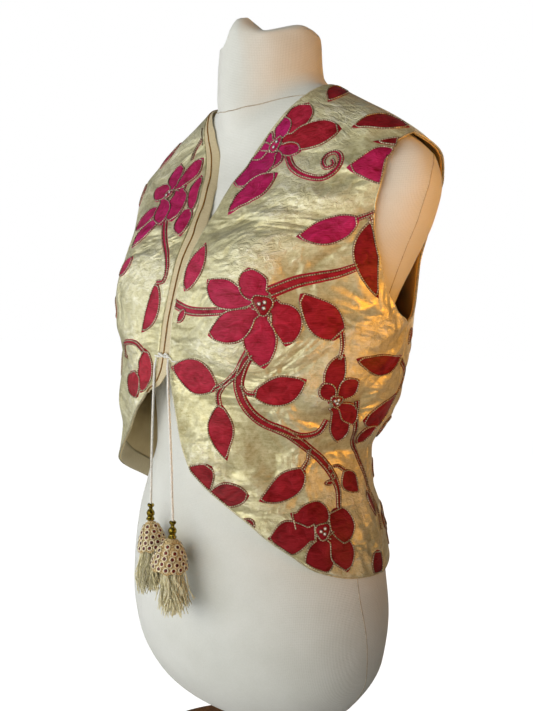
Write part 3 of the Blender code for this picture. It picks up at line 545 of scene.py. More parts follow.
def fold_height(angle, ring):
    """How far the folds and creases lift the outer cloth off its lining."""
    here = coat_point(angle, ring)
    lift = np.zeros_like(here[..., 0])
    for start, end, wide, high in FOLD_ENDS:
        along = end - start
        share = np.clip(((here - start) @ along) / (along @ along), 0, 1)
        distance = np.linalg.norm(here - start - share[..., None] * along, axis=-1)
        taper = 0.35 + 0.65 * np.sin(np.pi * share)
        lift = np.maximum(lift, high * taper * np.exp(-((distance / wide) ** 2)))
    return lift


def cloth_point(angle, ring, out):
    """Places over the outer cloth, out being the millimetres beyond its face."""
    angle, ring = np.broadcast_arrays(np.asarray(angle, float), np.asarray(ring, float))
    away = CLOTH_FACE + fold_height(angle, ring) + out
    return coat_point(angle, ring) + coat_normal(angle, ring) * np.asarray(away)[..., None]


def aside(angle, ring, along_angle, along_ring):
    """Change of angle and ring for one millimetre to the left of a path on the cloth."""
    round_body = coat_point(angle + 0.5, ring) - coat_point(angle - 0.5, ring)
    upward = coat_point(angle, ring + 0.5) - coat_point(angle, ring - 0.5)
    forward = (round_body * np.asarray(along_angle)[..., None]
               + upward * np.asarray(along_ring)[..., None])
    left = np.cross(np.cross(round_body, upward), forward)
    left /= np.linalg.norm(left, axis=-1, keepdims=True) + 1e-9
    rr, ru, uu = (np.sum(a * b, axis=-1) for a, b in
                  ((round_body, round_body), (round_body, upward), (upward, upward)))
    lr, lu = np.sum(left * round_body, axis=-1), np.sum(left * upward, axis=-1)
    det = rr * uu - ru * ru
    return (lr * uu - lu * ru) / det, (lu * rr - lr * ru) / det


def beside_edge(edge, count, wide):
    """A table's edge and, to its left, the line that runs beside it at a distance."""
    rows = edge_curve(edge, count)
    angle, ring = rows[:, 0], rows[:, 1]
    a_mm, r_mm = aside(angle, ring, np.gradient(angle), np.gradient(ring))
    return angle, ring, angle + a_mm * wide, ring + r_mm * wide


def ring_at(edge, turn):
    return np.interp(turn, [point.angle for point in edge], [point.ring for point in edge])


def angle_at(edge, ring):
    return np.interp(ring, [point.ring for point in edge], [point.angle for point in edge])


def trimmed(side, angle, ring):
    """Keeps embroidery inside the edges of its panel, where the real seams cut it off."""
    sign = -1 if side == "right" else 1
    turn = np.where(angle > 180, 360 - angle, angle) if side == "back" else angle * sign
    opening = LEFT_OPENING if side == "left" else mirror_edge(RIGHT_OPENING)
    hem = LEFT_HEM if side == "left" else mirror_edge(RIGHT_HEM)
    neck = [point for point in opening if point.ring > NECK_LOW] + BACK_NECK[1:]
    ring = np.maximum(ring, ring_at(hem + BACK_HEM[1:], turn) + RING_CLEAR)
    ring = np.minimum(ring, ring_at(neck, turn) - RING_CLEAR)
    if side != "back":
        inside = np.maximum(turn, angle_at(opening, ring) + ANGLE_CLEAR)
        turn = np.where(ring < NECK_HIGH, inside, turn)
    hole = angle_at(BACK_SIDE if side == "back" else FRONT_SIDE, ring)
    beside = (ring > ARMHOLE_LOW) & (ring < ARMHOLE_HIGH)
    if side == "back":
        turn = np.where(beside, np.maximum(turn, hole + ANGLE_CLEAR), turn)
        angle = np.where(angle > 180, 360 - turn, turn)
    else:
        angle = sign * np.where(beside, np.minimum(turn, hole - ANGLE_CLEAR), turn)
    return angle, ring


# ----------------------------------------------------------------------------------- making of mesh

def placed(points):
    """Millimetres above the waist to metres above the floor."""
    return (np.asarray(points, float) + (0.0, 0.0, WAIST_HEIGHT)) * MM


def add_piece(name, points, faces, finish, uv=None, fields=None, closed=True):
    """One object from points in millimetres; a closed shell has its faces turned to point out."""
    mesh = bpy.data.meshes.new(name)
    mesh.from_pydata(placed(points).tolist(), [], faces)
    if closed:
        work = bmesh.new()
        work.from_mesh(mesh)
        bmesh.ops.recalc_face_normals(work, faces=work.faces)
        if work.calc_volume(signed=True) < 0:
            bmesh.ops.reverse_faces(work, faces=work.faces)
        work.to_mesh(mesh)
        work.free()
    for field, values in (fields or {}).items():
        layer = mesh.attributes.new(field, "FLOAT", "POINT")
        layer.data.foreach_set("value", np.asarray(values, np.float32))
    if uv is not None:
        corners = np.empty(len(mesh.loops), np.int32)
        mesh.loops.foreach_get("vertex_index", corners)
        layer = mesh.uv_layers.new(name="cloth")
        layer.data.foreach_set("uv", np.asarray(uv, np.float32)[corners].ravel())
    mesh.shade_smooth()
    mesh.materials.append(finish)
    thing = bpy.data.objects.new(name, mesh)
    bpy.context.collection.objects.link(thing)
    return thing


class Gather:
    """Strips and tubes collected into one mesh, with a weave place and a tone for each point."""

    def __init__(self):
        self.points, self.faces, self.uv, self.tone, self.count = [], [], [], [], 0

    def grid(self, points, uv=None, tone=0.0, ring=False):
        """Adds a grid of points; with ring, its last column joins its first."""
        rows, columns = points.shape[:2]
        for row in range(rows - 1):
            for column in range(columns if ring else columns - 1):
                after = (column + 1) % columns
                low, high = self.count + row * columns, self.count + (row + 1) * columns
                self.faces.append((low + column, high + column, high + after, low + after))
        self.points.append(points.reshape(-1, 3))
        flat = np.zeros((rows * columns, 2)) if uv is None else np.asarray(uv, float).reshape(-1, 2)
        self.uv.append(flat)
        self.tone.append(np.full(rows * columns, tone))
        self.count += rows * columns

    def tube(self, path, radius, sides=8, lobes=0, pitch=6.0, tone=0.0, deep=0.2):
        """Adds a closed tube along a path; lobes wind round it as strands laid in a cord."""
        path = np.asarray(path, float)
        radius = np.broadcast_to(np.asarray(radius, float), len(path))
        forward = np.gradient(path, axis=0)
        forward /= np.linalg.norm(forward, axis=1, keepdims=True)
        is_level = abs(forward[0][2]) < 0.9
        side = np.cross(forward[0], (0.0, 0.0, 1.0) if is_level else (1.0, 0.0, 0.0))
        sides_way = []
        for way in forward:
            side = side - way * (side @ way)
            side = side / np.linalg.norm(side)
            sides_way.append(side)
        across = np.array(sides_way)
        up = np.cross(forward, across)
        along = run_along(path)
        around = np.arange(sides) * math.tau / sides
        shape = np.ones((len(path), sides))
        if lobes:
            wound = around[None, :] - along[:, None] / pitch * math.tau / lobes
            shape = 1 - deep + deep * np.abs(np.cos(lobes * wound / 2))
        rim = (across[:, None, :] * np.cos(around)[None, :, None]
               + up[:, None, :] * np.sin(around)[None, :, None])
        points = path[:, None, :] + rim * (shape * radius[:, None])[..., None]
        uv = np.stack(np.broadcast_arrays(along[:, None] / 10, around[None, :]), -1)
        start = self.count
        self.grid(points, uv, tone, ring=True)
        self.faces.append(tuple(range(start, start + sides)))
        self.faces.append(tuple(range(self.count - 1, self.count - 1 - sides, -1)))

    def piece(self, name, finish, closed=False):
        return add_piece(name, np.concatenate(self.points), self.faces, finish,
                         np.concatenate(self.uv), {"tone": np.concatenate(self.tone)}, closed)


def shell(name, grid, inner, outer, finish, with_folds):
    """Closed cloth over a grid of angle and ring, between two distances from the coat's inside."""
    angle, ring = grid[..., 0], grid[..., 1]
    base, normal = coat_point(angle, ring), coat_normal(angle, ring)
    lift = fold_height(angle, ring) if with_folds else np.zeros_like(angle)
    rows, columns = angle.shape
    far = rows * columns
    points = np.concatenate([(base + normal * (inner + lift)[..., None]).reshape(-1, 3),
                             (base + normal * (outer + lift)[..., None]).reshape(-1, 3)])
    index = np.arange(far).reshape(rows, columns)
    quads = np.stack([index[:-1, :-1], index[:-1, 1:], index[1:, 1:], index[1:, :-1]], -1)
    quads = quads.reshape(-1, 4)
    faces = (quads + far).tolist() + quads[:, ::-1].tolist()
    rim = [*index[0, :], *index[1:, -1], *index[-1, -2::-1], *index[-2:0:-1, 0]]
    for here, there in zip(rim, rim[1:] + rim[:1]):
        faces.append([int(here), int(there), int(there + far), int(here + far)])
    weave = np.stack([angle * ROUND_MM / 10, ring / 10], -1).reshape(-1, 2)
    return add_piece(name, points, faces, finish, np.tile(weave, (2, 1)))


def turned(name, profile, finish, sides, place=Matrix.Identity(4), rows=40):
    """Solid of revolution whose profile runs from the top end of its axis to the bottom end."""
    table = np.array(profile, float)
    along = run_along(table)
    fine = smooth_table(along, table, np.linspace(0, along[-1], rows))
    around = np.arange(sides) * math.tau / sides
    points = np.stack([fine[:, :1] * np.cos(around), fine[:, :1] * np.sin(around),
                       -fine[:, 1:] * np.ones(sides)], -1).reshape(-1, 3)
    points = [place @ Vector(point) for point in points]
    faces = []
    for row in range(rows - 1):
        for side in range(sides):
            across = (side + 1) % sides
            top, low = row * sides, (row + 1) * sides
            faces.append([top + side, low + side, low + across, top + across])
    faces.append(list(range(sides)))
    faces.append([(rows - 1) * sides + side for side in range(sides)][::-1])
    return add_piece(name, points, faces, finish)


def leaning(top, lean):
    """Places a turned piece with its top centre at a point and its axis along a direction."""
    down = Vector(lean).normalized()
    turn = Vector((0, 0, -1)).rotation_difference(down).to_matrix().to_4x4()
    return Matrix.Translation(top) @ turn


def route_curve(route, count):
    """A smooth curve through a route's points, as evenly spaced points."""
    rows = np.array(route, float)
    along = run_along(rows)
    return smooth_table(along, rows, np.linspace(0, along[-1], count))


# ----------------------------------------------------------------- nodes, for finishes and for mesh

def add_node(tree, kind, inputs=None, **settings):
    """Adds a node with its settings; an input is a plain value or the output that feeds it."""
    node = tree.nodes.new(kind)
    for name, value in settings.items():
        setattr(node, name, value)
    for key, value in (inputs or {}).items():
        socket = node.inputs[key]
        if isinstance(value, bpy.types.NodeSocket):
            tree.links.new(value, socket)
        else:
            socket.default_value = value
    return node


def srgb(text, alpha=1.0):
    """A colour such as #c8b68f, as the linear values that the shaders take."""
    parts = [int(text[i:i + 2], 16) / 255 for i in (1, 3, 5)]
    return (*[p / 12.92 if p <= 0.04045 else ((p + 0.055) / 1.055) ** 2.4 for p in parts], alpha)


def ramp(tree, value, *stops):
    """Colours along a value: pairs of place and sRGB hex."""
    node = add_node(tree, "ShaderNodeValToRGB", {"Fac": value})
    while len(node.color_ramp.elements) < len(stops):
        node.color_ramp.elements.new(1.0)
    for element, (place, colour) in zip(node.color_ramp.elements, stops):
        element.position, element.color = place, srgb(colour)
    return node.outputs["Color"]


def finish_of(name, build, **plain):
    """A material: plain values are set on its shader's sockets, and build links the rest."""
    made = bpy.data.materials.new(name)
    made.use_nodes = True
    tree = made.node_tree
    shader = tree.nodes["Principled BSDF"]
    for key, value in plain.items():
        shader.inputs[key.replace("_", " ")].default_value = value
    for key, value in build(tree).items():
        tree.links.new(value, shader.inputs[key])
    return made


def shape_tree(name, made, **taken):
    """A node tree for meshes: what it makes, and the inputs that it takes, each with its kind."""
    tree = bpy.data.node_groups.new(name, "GeometryNodeTree")
    for label, kind in taken.items():
        tree.interface.new_socket(label.replace("_", " "), in_out="INPUT",
                                  socket_type="NodeSocket" + kind)
    tree.interface.new_socket(made, in_out="OUTPUT", socket_type="NodeSocketGeometry")
    return tree, add_node(tree, "NodeGroupInput").outputs


def thread_tree():
    """Lays a round thread along every path of edges, with its own width and steps."""
    tree, given = shape_tree("thread along paths", "Thread", Paths="Geometry",
                             Thread_radius="Float", Step="Float", Sides="Int", Finish="Material")
    curve = add_node(tree, "GeometryNodeMeshToCurve", {"Mesh": given["Paths"]})
    even = add_node(tree, "GeometryNodeResampleCurve",
                    {"Curve": curve.outputs[0], "Length": given["Step"]}, mode="LENGTH")
    place = add_node(tree, "GeometryNodeSplineParameter")
    marked = add_node(tree, "GeometryNodeStoreNamedAttribute",
                      {"Geometry": even.outputs[0], "Name": "along",
                       "Value": place.outputs["Length"]},
                      data_type="FLOAT", domain="POINT")
    rim = add_node(tree, "GeometryNodeCurvePrimitiveCircle",
                   {"Resolution": given["Sides"], "Radius": given["Thread radius"]}, mode="RADIUS")
    swept = add_node(tree, "GeometryNodeCurveToMesh",
                     {"Curve": marked.outputs[0], "Profile Curve": rim.outputs[0],
                      "Fill Caps": True})
    smooth = add_node(tree, "GeometryNodeSetShadeSmooth", {"Geometry": swept.outputs[0]})
    real = add_node(tree, "GeometryNodeRealizeInstances", {"Geometry": smooth.outputs[0]})
    coated = add_node(tree, "GeometryNodeSetMaterial",
                      {"Geometry": real.outputs[0], "Material": given["Finish"]})
    add_node(tree, "NodeGroupOutput", {"Thread": coated.outputs[0]})
    return tree


def ring_tree():
    """Sets a round ring at every place, turned to face the way that its place gives."""
    tree, given = shape_tree("rings at places", "Rings", Places="Geometry", Ring_radius="Float",
                             Wire_radius="Float", Ring_steps="Int", Wire_steps="Int",
                             Finish="Material")
    loop, wire = (add_node(tree, "GeometryNodeCurvePrimitiveCircle",
                           {"Resolution": given[part + " steps"],
                            "Radius": given[part + " radius"]}, mode="RADIUS")
                  for part in ("Ring", "Wire"))
    ring = add_node(tree, "GeometryNodeCurveToMesh",
                    {"Curve": loop.outputs[0], "Profile Curve": wire.outputs[0]})
    facing = add_node(tree, "GeometryNodeInputNamedAttribute", {"Name": "facing"},
                      data_type="FLOAT_VECTOR")
    turn = add_node(tree, "FunctionNodeAlignRotationToVector",
                    {"Vector": facing.outputs["Attribute"]}, axis="Z")
    set_out = add_node(tree, "GeometryNodeInstanceOnPoints",
                       {"Points": given["Places"], "Instance": ring.outputs[0],
                        "Rotation": turn.outputs[0]})
    real = add_node(tree, "GeometryNodeRealizeInstances", {"Geometry": set_out.outputs[0]})
    smooth = add_node(tree, "GeometryNodeSetShadeSmooth", {"Geometry": real.outputs[0]})
    coated = add_node(tree, "GeometryNodeSetMaterial",
                      {"Geometry": smooth.outputs[0], "Material": given["Finish"]})
    add_node(tree, "NodeGroupOutput", {"Rings": coated.outputs[0]})
    return tree


def grown(name, mesh, tree, **inputs):
    """Runs a node tree on a mesh and keeps what it makes as a plain mesh."""
    seed = bpy.data.objects.new(name + "_places", mesh)
    bpy.context.collection.objects.link(seed)
    modifier = seed.modifiers.new("made by nodes", "NODES")
    modifier.node_group = tree
    for item in tree.interface.items_tree:
        key = item.name.replace(" ", "_")
        if item.in_out == "INPUT" and key in inputs:
            modifier[item.identifier] = inputs[key]
    graph = bpy.context.evaluated_depsgraph_get()
    made = bpy.data.meshes.new_from_object(seed.evaluated_get(graph), depsgraph=graph)
    seed.modifiers.clear()
    bpy.data.objects.remove(seed, do_unlink=True)
    thing = bpy.data.objects.new(name, made)
    thing.data.name = name
    bpy.context.collection.objects.link(thing)
    return thing


def threads(name, paths, diameter, finish, step, sides):
    """One mesh of thread along paths in millimetres; a path is points, and whether it is closed."""
    points, edges = [], []
    for path, is_closed in paths:
        start = len(points)
        points += list(path)
        edges += [(start + i, start + i + 1) for i in range(len(path) - 1)]
        if is_closed:
            edges.append((len(points) - 1, start))
    mesh = bpy.data.meshes.new(name)
    mesh.from_pydata(placed(points).tolist(), edges, [])
    return grown(name, mesh, THREADS, Thread_radius=diameter / 2 * MM, Step=step * MM, Sides=sides,
                 Finish=finish)


def rings(name, places, ways, ring, wire, finish, steps):
    """One mesh of round rings at places in millimetres, each turned to face its own way."""
    mesh = bpy.data.meshes.new(name)
    mesh.from_pydata(placed(places).tolist(), [], [])
    layer = mesh.attributes.new("facing", "FLOAT_VECTOR", "POINT")
    layer.data.foreach_set("vector", np.asarray(ways, np.float32).ravel())
    return grown(name, mesh, RINGS, Ring_radius=ring * MM, Wire_radius=wire * MM,
                 Ring_steps=steps[0], Wire_steps=steps[1], Finish=finish)


THREADS, RINGS = thread_tree(), ring_tree()


# ----------------------------------------------------------------------------------------- finishes

def object_place(tree, scale=(1, 1, 1), rotation=(0, 0, 0)):
    place = add_node(tree, "ShaderNodeTexCoord").outputs["Object"]
    return add_node(tree, "ShaderNodeMapping",
                    {"Vector": place, "Scale": scale, "Rotation": rotation}).outputs[0]


def cloth_place(tree, scale=(1, 1, 1), rotation=(0, 0, 0)):
    """The weave's own map: across along the weft and up along the warp, in centimetres."""
    place = add_node(tree, "ShaderNodeUVMap", uv_map="cloth").outputs["UV"]
    return add_node(tree, "ShaderNodeMapping",
                    {"Vector": place, "Scale": scale, "Rotation": rotation}).outputs[0]


# what a finish is wired from: a node, its inputs in the order that they are given, and its output
WIRED = {
    "noise": ("ShaderNodeTexNoise", ("Vector", "Scale", "Detail", "Roughness", "Distortion"), "Fac"),
    "bump": ("ShaderNodeBump", ("Height", "Distance", "Strength", "Normal"), "Normal"),
    "mix": ("ShaderNodeMix", ("Factor", 6, 7), 2),
    "sum": ("ShaderNodeMath", (0, 1, 2), 0),
}


def wired(tree, kind, *values, **settings):
    """Adds a node with its inputs in order, and gives its output; a sum is named by its operation."""
    if kind not in WIRED:
        kind, settings["operation"] = "sum", kind
    node, inputs, output = WIRED[kind]
    return add_node(tree, node, dict(zip(inputs, values)), **settings).outputs[output]


def silk_tissue(tree):
    # woven silk and flat metal strip: a creamy satin lustre over soft folds, with small crumples in
    # patches where the cloth is crushed;
    # those patches are painted lighter as a painted frosty highlight, and the crumple noise paints
    # light and dark specks into the colour as painted crinkle highlights and shade. Thicker threads
    # show as faint lines about 15 mm long
    weft = wired(tree, "noise", cloth_place(tree, (0.6, 12, 1)), 1.0, 4.0, 0.65)
    warp = wired(tree, "noise", cloth_place(tree, (14, 0.7, 1)), 1.0, 3.0, 0.6)
    crumple = wired(tree, "noise", cloth_place(tree, (1.3, 1.7, 1), (0, 0, 0.5)), 1.0, 6.0, 0.6, 0.7)
    fine = wired(tree, "noise", object_place(tree, (1, 1, 1.3)), 300.0, 4.0, 0.7, 0.4)
    broad = wired(tree, "noise", object_place(tree, (1, 1, 1.5), (0.4, 0, 0)), 13.0, 3.0, 0.5, 0.6)
    crushed_painted_frost = wired(tree, "MULTIPLY_ADD", broad, 4.0, -1.5, use_clamp=True)
    tone = wired(tree, "MULTIPLY_ADD", weft, 0.25, wired(tree, "MULTIPLY", fine, 0.35))
    # the crumple noise and the crushed patches lighten or darken the colour: painted crinkle
    # highlights and shade, and a painted frosty highlight
    tone = wired(tree, "MULTIPLY_ADD", crushed_painted_frost, 0.12, wired(tree, "MULTIPLY_ADD", crumple, 0.4, tone))
    colour = ramp(tree, tone, (0.38, "#b0a571"), (0.5, "#cec697"), (0.6, "#e0dab1"),
                  (0.72, "#f4f0d8"))
    rough = wired(tree, "MULTIPLY_ADD", fine, 0.25, wired(tree, "MULTIPLY_ADD", crushed_painted_frost, 0.08, 0.2))
    normal = wired(tree, "bump", broad, 0.034, 0.55)
    normal = wired(tree, "bump", wired(tree, "MULTIPLY", crumple, crushed_painted_frost), 0.0032, 0.8, normal)
    normal = wired(tree, "bump", fine, 0.0004, 0.5, normal)
    normal = wired(tree, "bump", wired(tree, "ADD", weft, warp), 0.00015, 0.5, normal)
    return {"Base Color": colour, "Roughness": rough, "Normal": normal}


def silk_edge(tree):
    # the same tissue where its edge is turned, with no weave map of its own
    fine = wired(tree, "noise", object_place(tree, (1, 1, 1.7)), 260.0, 3.0, 0.6, 0.4)
    colour = ramp(tree, fine, (0.3, "#b3a980"), (0.6, "#dcd6b8"))
    rough = wired(tree, "MULTIPLY_ADD", fine, 0.22, 0.26)
    return {"Base Color": colour, "Roughness": rough, "Normal": wired(tree, "bump", fine, 0.0005, 0.5)}


def red_dupion(tree):
    # dupion silk cut to leaves and petals: uneven slubs along the weft, a low satin lustre, and
    # edges that pucker under the couching
    tone = add_node(tree, "ShaderNodeAttribute", attribute_name="tone").outputs["Fac"]
    weft = wired(tree, "noise", cloth_place(tree, (1.2, 16, 1)), 1.0, 4.0, 0.6)
    patchy = wired(tree, "noise", object_place(tree, (1, 1, 1.6)), 75.0, 3.0, 0.6, 0.8)
    base = ramp(tree, tone, (0.0, "#c20e72"), (0.3, "#c41a50"), (0.55, "#b81b30"),
                (0.75, "#9c0e18"), (1.0, "#8e0408"))
    deep = wired(tree, "mix", 1.0, base, srgb("#a86a6a"), data_type="RGBA", blend_type="MULTIPLY")
    share = ramp(tree, wired(tree, "MULTIPLY_ADD", weft, 0.55, wired(tree, "MULTIPLY", patchy, 0.55)),
                 (0.4, "#000000"), (0.7, "#ffffff"))
    light = wired(tree, "mix", 0.07, base, srgb("#ff7f98"), data_type="RGBA")
    colour = wired(tree, "mix", share, deep, light, data_type="RGBA")
    normal = wired(tree, "bump", patchy, 0.0025, 0.6)
    normal = wired(tree, "bump", weft, 0.0003, 0.7, normal)
    return {"Base Color": colour, "Normal": normal}


COUCHING_TURN = 0.0022         # metres of thread for one turn of its strip


def couched_thread(tree):
    # tarnished silver-gilt strip wound on silk: small painted glints on the turns and painted shade
    # between them, mottled by tarnish; drawn coarser than a real thread's, so that the turns show
    along = add_node(tree, "ShaderNodeAttribute", attribute_name="along").outputs["Fac"]
    turns = wired(tree, "PINGPONG", wired(tree, "MULTIPLY", along, 1 / COUCHING_TURN), 0.5)
    worn = wired(tree, "noise", object_place(tree), 380.0, 3.0, 0.75)
    tone = wired(tree, "MULTIPLY_ADD", turns, 0.6, wired(tree, "MULTIPLY", worn, 0.8))
    # the ramp's dark end is painted shade between the turns, and its bright end painted glints on them
    colour = ramp(tree, tone, (0.3, "#38261a"), (0.45, "#7c694e"), (0.6, "#ab9c7e"),
                  (0.75, "#f0e9d6"))
    return {"Base Color": colour, "Normal": wired(tree, "bump", turns, 0.0005, 0.8)}


def cream_lining(tree):
    # plain cotton lining gone cream, with an even weave at 0.6 mm, drawn coarser to show
    weave = wired(tree, "noise", cloth_place(tree, (9, 9, 1)), 2.0, 2.0, 0.5)
    patchy = wired(tree, "noise", object_place(tree), 22.0, 3.0, 0.6)
    colour = ramp(tree, wired(tree, "MULTIPLY_ADD", weave, 0.3, wired(tree, "MULTIPLY", patchy, 0.7)),
                  (0.3, "#d6bd88"), (0.55, "#e9d3a2"), (0.75, "#f1e2c0"))
    return {"Base Color": colour, "Normal": wired(tree, "bump", weave, 0.0003, 0.5)}


def lining_painted_lamp_amber(tree):
    # the back's lining, of plain cotton, painted a warm amber that stands for the lamp light falling
    # into the back, with the same weave
    weave = wired(tree, "noise", cloth_place(tree, (9, 9, 1)), 2.0, 2.0, 0.5)
    colour = ramp(tree, weave, (0.3, "#d99c3c"), (0.6, "#f2c878"))
    return {"Base Color": colour, "Normal": wired(tree, "bump", weave, 0.0003, 0.5)}


def facing_satin(tree):
    # smooth satin binding with a long soft gleam along its length
    weave = wired(tree, "noise", cloth_place(tree, (20, 1.2, 1)), 1.0, 3.0, 0.5)
    colour = ramp(tree, weave, (0.35, "#ccba92"), (0.65, "#d9c9a3"))
    return {"Base Color": colour, "Normal": wired(tree, "bump", weave, 0.0003, 0.4)}


def jersey_cover(tree):
    # fine knitted cotton stretched over the form: matt, with a knit of 1.3 by 1.6 mm, drawn coarser
    # than a fine jersey's so that it shows, and faint marks of handling
    knit = add_node(tree, "ShaderNodeTexWave", {"Vector": object_place(tree), "Scale": 240.0,
                    "Distortion": 1.2, "Detail": 2.0, "Detail Scale": 3.0},
                    wave_type="BANDS", bands_direction="X").outputs["Fac"]
    rows = add_node(tree, "ShaderNodeTexWave", {"Vector": object_place(tree), "Scale": 200.0,
                    "Distortion": 0.8, "Detail": 1.0},
                    wave_type="BANDS", bands_direction="Z").outputs["Fac"]
    cloudy = wired(tree, "noise", object_place(tree), 9.0, 4.0, 0.6)
    fluff = wired(tree, "noise", object_place(tree), 600.0, 3.0, 0.7)
    tone = wired(tree, "MULTIPLY_ADD", fluff, 0.25, wired(tree, "MULTIPLY", cloudy, 0.75))
    colour = ramp(tree, tone, (0.3, "#d8d9d0"), (0.55, "#e5e6df"), (0.75, "#eeeee9"))
    pattern = wired(tree, "ADD", knit, rows)
    normal = wired(tree, "bump", pattern, 0.00012, 0.5)
    return {"Base Color": colour, "Normal": wired(tree, "bump", fluff, 0.0004, 0.35, normal)}


def grained(stretch, scale, detail, roughness, *stops, dent=None):
    """Builds a colour from one noise, which also dents the surface where dent is given."""
    def build(tree):
        grain = wired(tree, "noise", object_place(tree, stretch), scale, detail, roughness)
        made = {"Base Color": ramp(tree, grain, *stops)}
        if dent:
            made["Normal"] = wired(tree, "bump", grain, *dent)
        return made
    return build


def oiled_beech(tree):
    # turned beech, stained brown: close grain along the post with darker pores
    grain = wired(tree, "noise", object_place(tree, (1, 1, 0.05)), 260.0, 5.0, 0.6, 0.4)
    figure = wired(tree, "noise", object_place(tree, (1, 1, 0.12)), 38.0, 3.0, 0.5, 1.4)
    tone = wired(tree, "MULTIPLY_ADD", grain, 0.55, wired(tree, "MULTIPLY", figure, 0.45))
    colour = ramp(tree, tone, (0.34, "#4c2a09"), (0.5, "#6f420f"), (0.68, "#8f5c1d"))
    return {"Base Color": colour, "Normal": wired(tree, "bump", grain, 0.0003, 0.5)}


def cotton_crochet(tree):
    # mercerised cotton: little knots of thread with shade between them
    loops = add_node(tree, "ShaderNodeTexVoronoi", {"Vector": object_place(tree), "Scale": 900.0})
    spread = loops.outputs["Distance"]
    colour = ramp(tree, spread, (0.05, "#f2dfb0"), (0.5, "#d6bb82"), (0.9, "#94703a"))
    return {"Base Color": colour, "Normal": wired(tree, "bump", spread, -0.0006, 0.8)}


def pale_paint(tree):
    # rolled matt paint on a floor that is lit from below for the camera, as a light table is, so
    # that it meets the white room without an edge
    cloudy = wired(tree, "noise", object_place(tree), 1.5, 2.0, 0.5)
    seen = add_node(tree, "ShaderNodeLightPath").outputs["Is Camera Ray"]
    return {"Base Color": ramp(tree, cloudy, (0.3, "#c8c8c6"), (0.7, "#cececc")),
            "Emission Strength": wired(tree, "MULTIPLY", seen, 0.95)}


EVEN = (1, 1, 1)               # a grain that is stretched along no axis
SILK = finish_of("silk tissue, woven with metal strip", silk_tissue, Metallic=0.4,
                 Sheen_Weight=0.1, Sheen_Roughness=0.4)
SILK_EDGE = finish_of("silk tissue, turned edge", silk_edge, Metallic=0.5, Sheen_Weight=0.1,
                      Sheen_Roughness=0.4)
DUPION = finish_of("red dupion silk, cut out", red_dupion, Roughness=0.4, Specular_IOR_Level=0.15)
COUCHING = finish_of("silver-gilt thread, couched", couched_thread, Roughness=0.38, Metallic=0.55)
LINING = finish_of("cotton lining, cream", cream_lining, Roughness=0.75)
# the back's lining is painted amber for the warm lamp light, not a second cloth colour
BACK_LINING = finish_of("cotton lining, painted amber lamp light", lining_painted_lamp_amber, Roughness=0.7)
SATIN = finish_of("satin facing, woven", facing_satin, Roughness=0.4, Sheen_Weight=0.2)
# dull amber cord covered in cloth, coloured dark so that it draws the line of shade under the facing's
# edge: a piping that is partly painted shade
PIPING_SHADE_LINE = finish_of("amber piping, dark for painted shade",
                   grained(EVEN, 420.0, 2.0, 0.5, (0.3, "#6e4712"), (0.7, "#a5772e"),
                           dent=(0.0004, 0.6)), Roughness=0.6)
JERSEY = finish_of("cotton jersey cover, knitted", jersey_cover, Roughness=0.92, Sheen_Weight=0.3,
                   Sheen_Roughness=0.6)
# buff cotton sewing thread, dulled where the cover is drawn together over it
SEWING = finish_of("cotton sewing thread, buff",
                   grained(EVEN, 160.0, 3.0, 0.6, (0.35, "#ab9d88"), (0.65, "#cbc0ac"),
                           dent=(0.0003, 0.5)), Roughness=0.7)
BEECH = finish_of("beech, turned and oiled", oiled_beech, Roughness=0.42, Coat_Weight=0.15)
# bright rayon strands laid together: soft lustre along each strand, greyer in the grooves
CORD = finish_of("rayon cord, laid",
                 grained((1, 1, 0.4), 900.0, 2.0, 0.5, (0.3, "#d6d3c6"), (0.65, "#f7f5ee"),
                         dent=(0.0003, 0.5)), Roughness=0.5, Sheen_Weight=0.3)
# cast brass with dark wax left in the hollows and bright worn ridges
BRASS = finish_of("antique brass, cast",
                  grained(EVEN, 420.0, 3.0, 0.6, (0.3, "#2c2306"), (0.5, "#75631c"),
                          (0.7, "#c9b458"), dent=(0.0003, 0.4)), Roughness=0.22, Metallic=1.0)
CROCHET = finish_of("cotton crochet", cotton_crochet, Roughness=0.7, Sheen_Weight=0.2)
# thin pressed metal: pale gilt with a satin gleam, a little worn
SEQUIN = finish_of("gilt sequin, pressed",
                   grained(EVEN, 700.0, 2.0, 0.6, (0.3, "#dccb9c"), (0.65, "#f6ecd0")),
                   Roughness=0.35, Metallic=0.35)
# dark glossy glass that reads as a red-brown dot inside each sequin
GARNET = finish_of("garnet glass bead, moulded",
                   grained(EVEN, 500.0, 2.0, 0.5, (0.35, "#2a0d0a"), (0.65, "#7c2318")),
                   Roughness=0.15)
# worn silver, bright on its edge and grey with tarnish in its hollows
SILVER = finish_of("silver claw setting, worn",
                   grained(EVEN, 700.0, 2.0, 0.6, (0.3, "#4f483c"), (0.65, "#b9b2a2")),
                   Roughness=0.3, Metallic=1.0)
# clear cut glass over foil: near white, with a sharp highlight
GLASS = finish_of("clear glass stone, cut",
                  grained(EVEN, 900.0, 1.0, 0.5, (0.35, "#dfe6ea"), (0.55, "#ffffff")),
                  Roughness=0.12, Specular_IOR_Level=0.9)
# untwisted silk floss: bright along the strands, brown in the shade between them
FLOSS = finish_of("silk floss, loose",
                  grained((1, 1, 0.06), 1500.0, 3.0, 0.6, (0.3, "#cfc389"), (0.5, "#efe5b8"),
                          (0.7, "#fffae2")), Roughness=0.35, Sheen_Weight=0.5, Sheen_Roughness=0.3)
PAINT = finish_of("matt white paint, rolled", pale_paint, Roughness=0.9,
                  Emission_Color=(1, 1, 1, 1))


# ----------------------------------------------------------------------------- camera, light, floor

# the camera: its place in metres, the way it looks, the level line across that way, and its roll
CAMERA_PLACE = (0.61065, -0.58831, 0.54329)
CAMERA_WAY = (-0.71759, 0.69297, -0.069756)
CAMERA_LEVEL = (0.694658, 0.719340, 0.0)
CAMERA_ROLL = 2.2              # degrees
SENSOR = 36.0                  # millimetres, as the lens is
FOCAL, FRAME_HEIGHT = 787, 711         # of the view, in its pixels
LENS = SENSOR * FOCAL / FRAME_HEIGHT

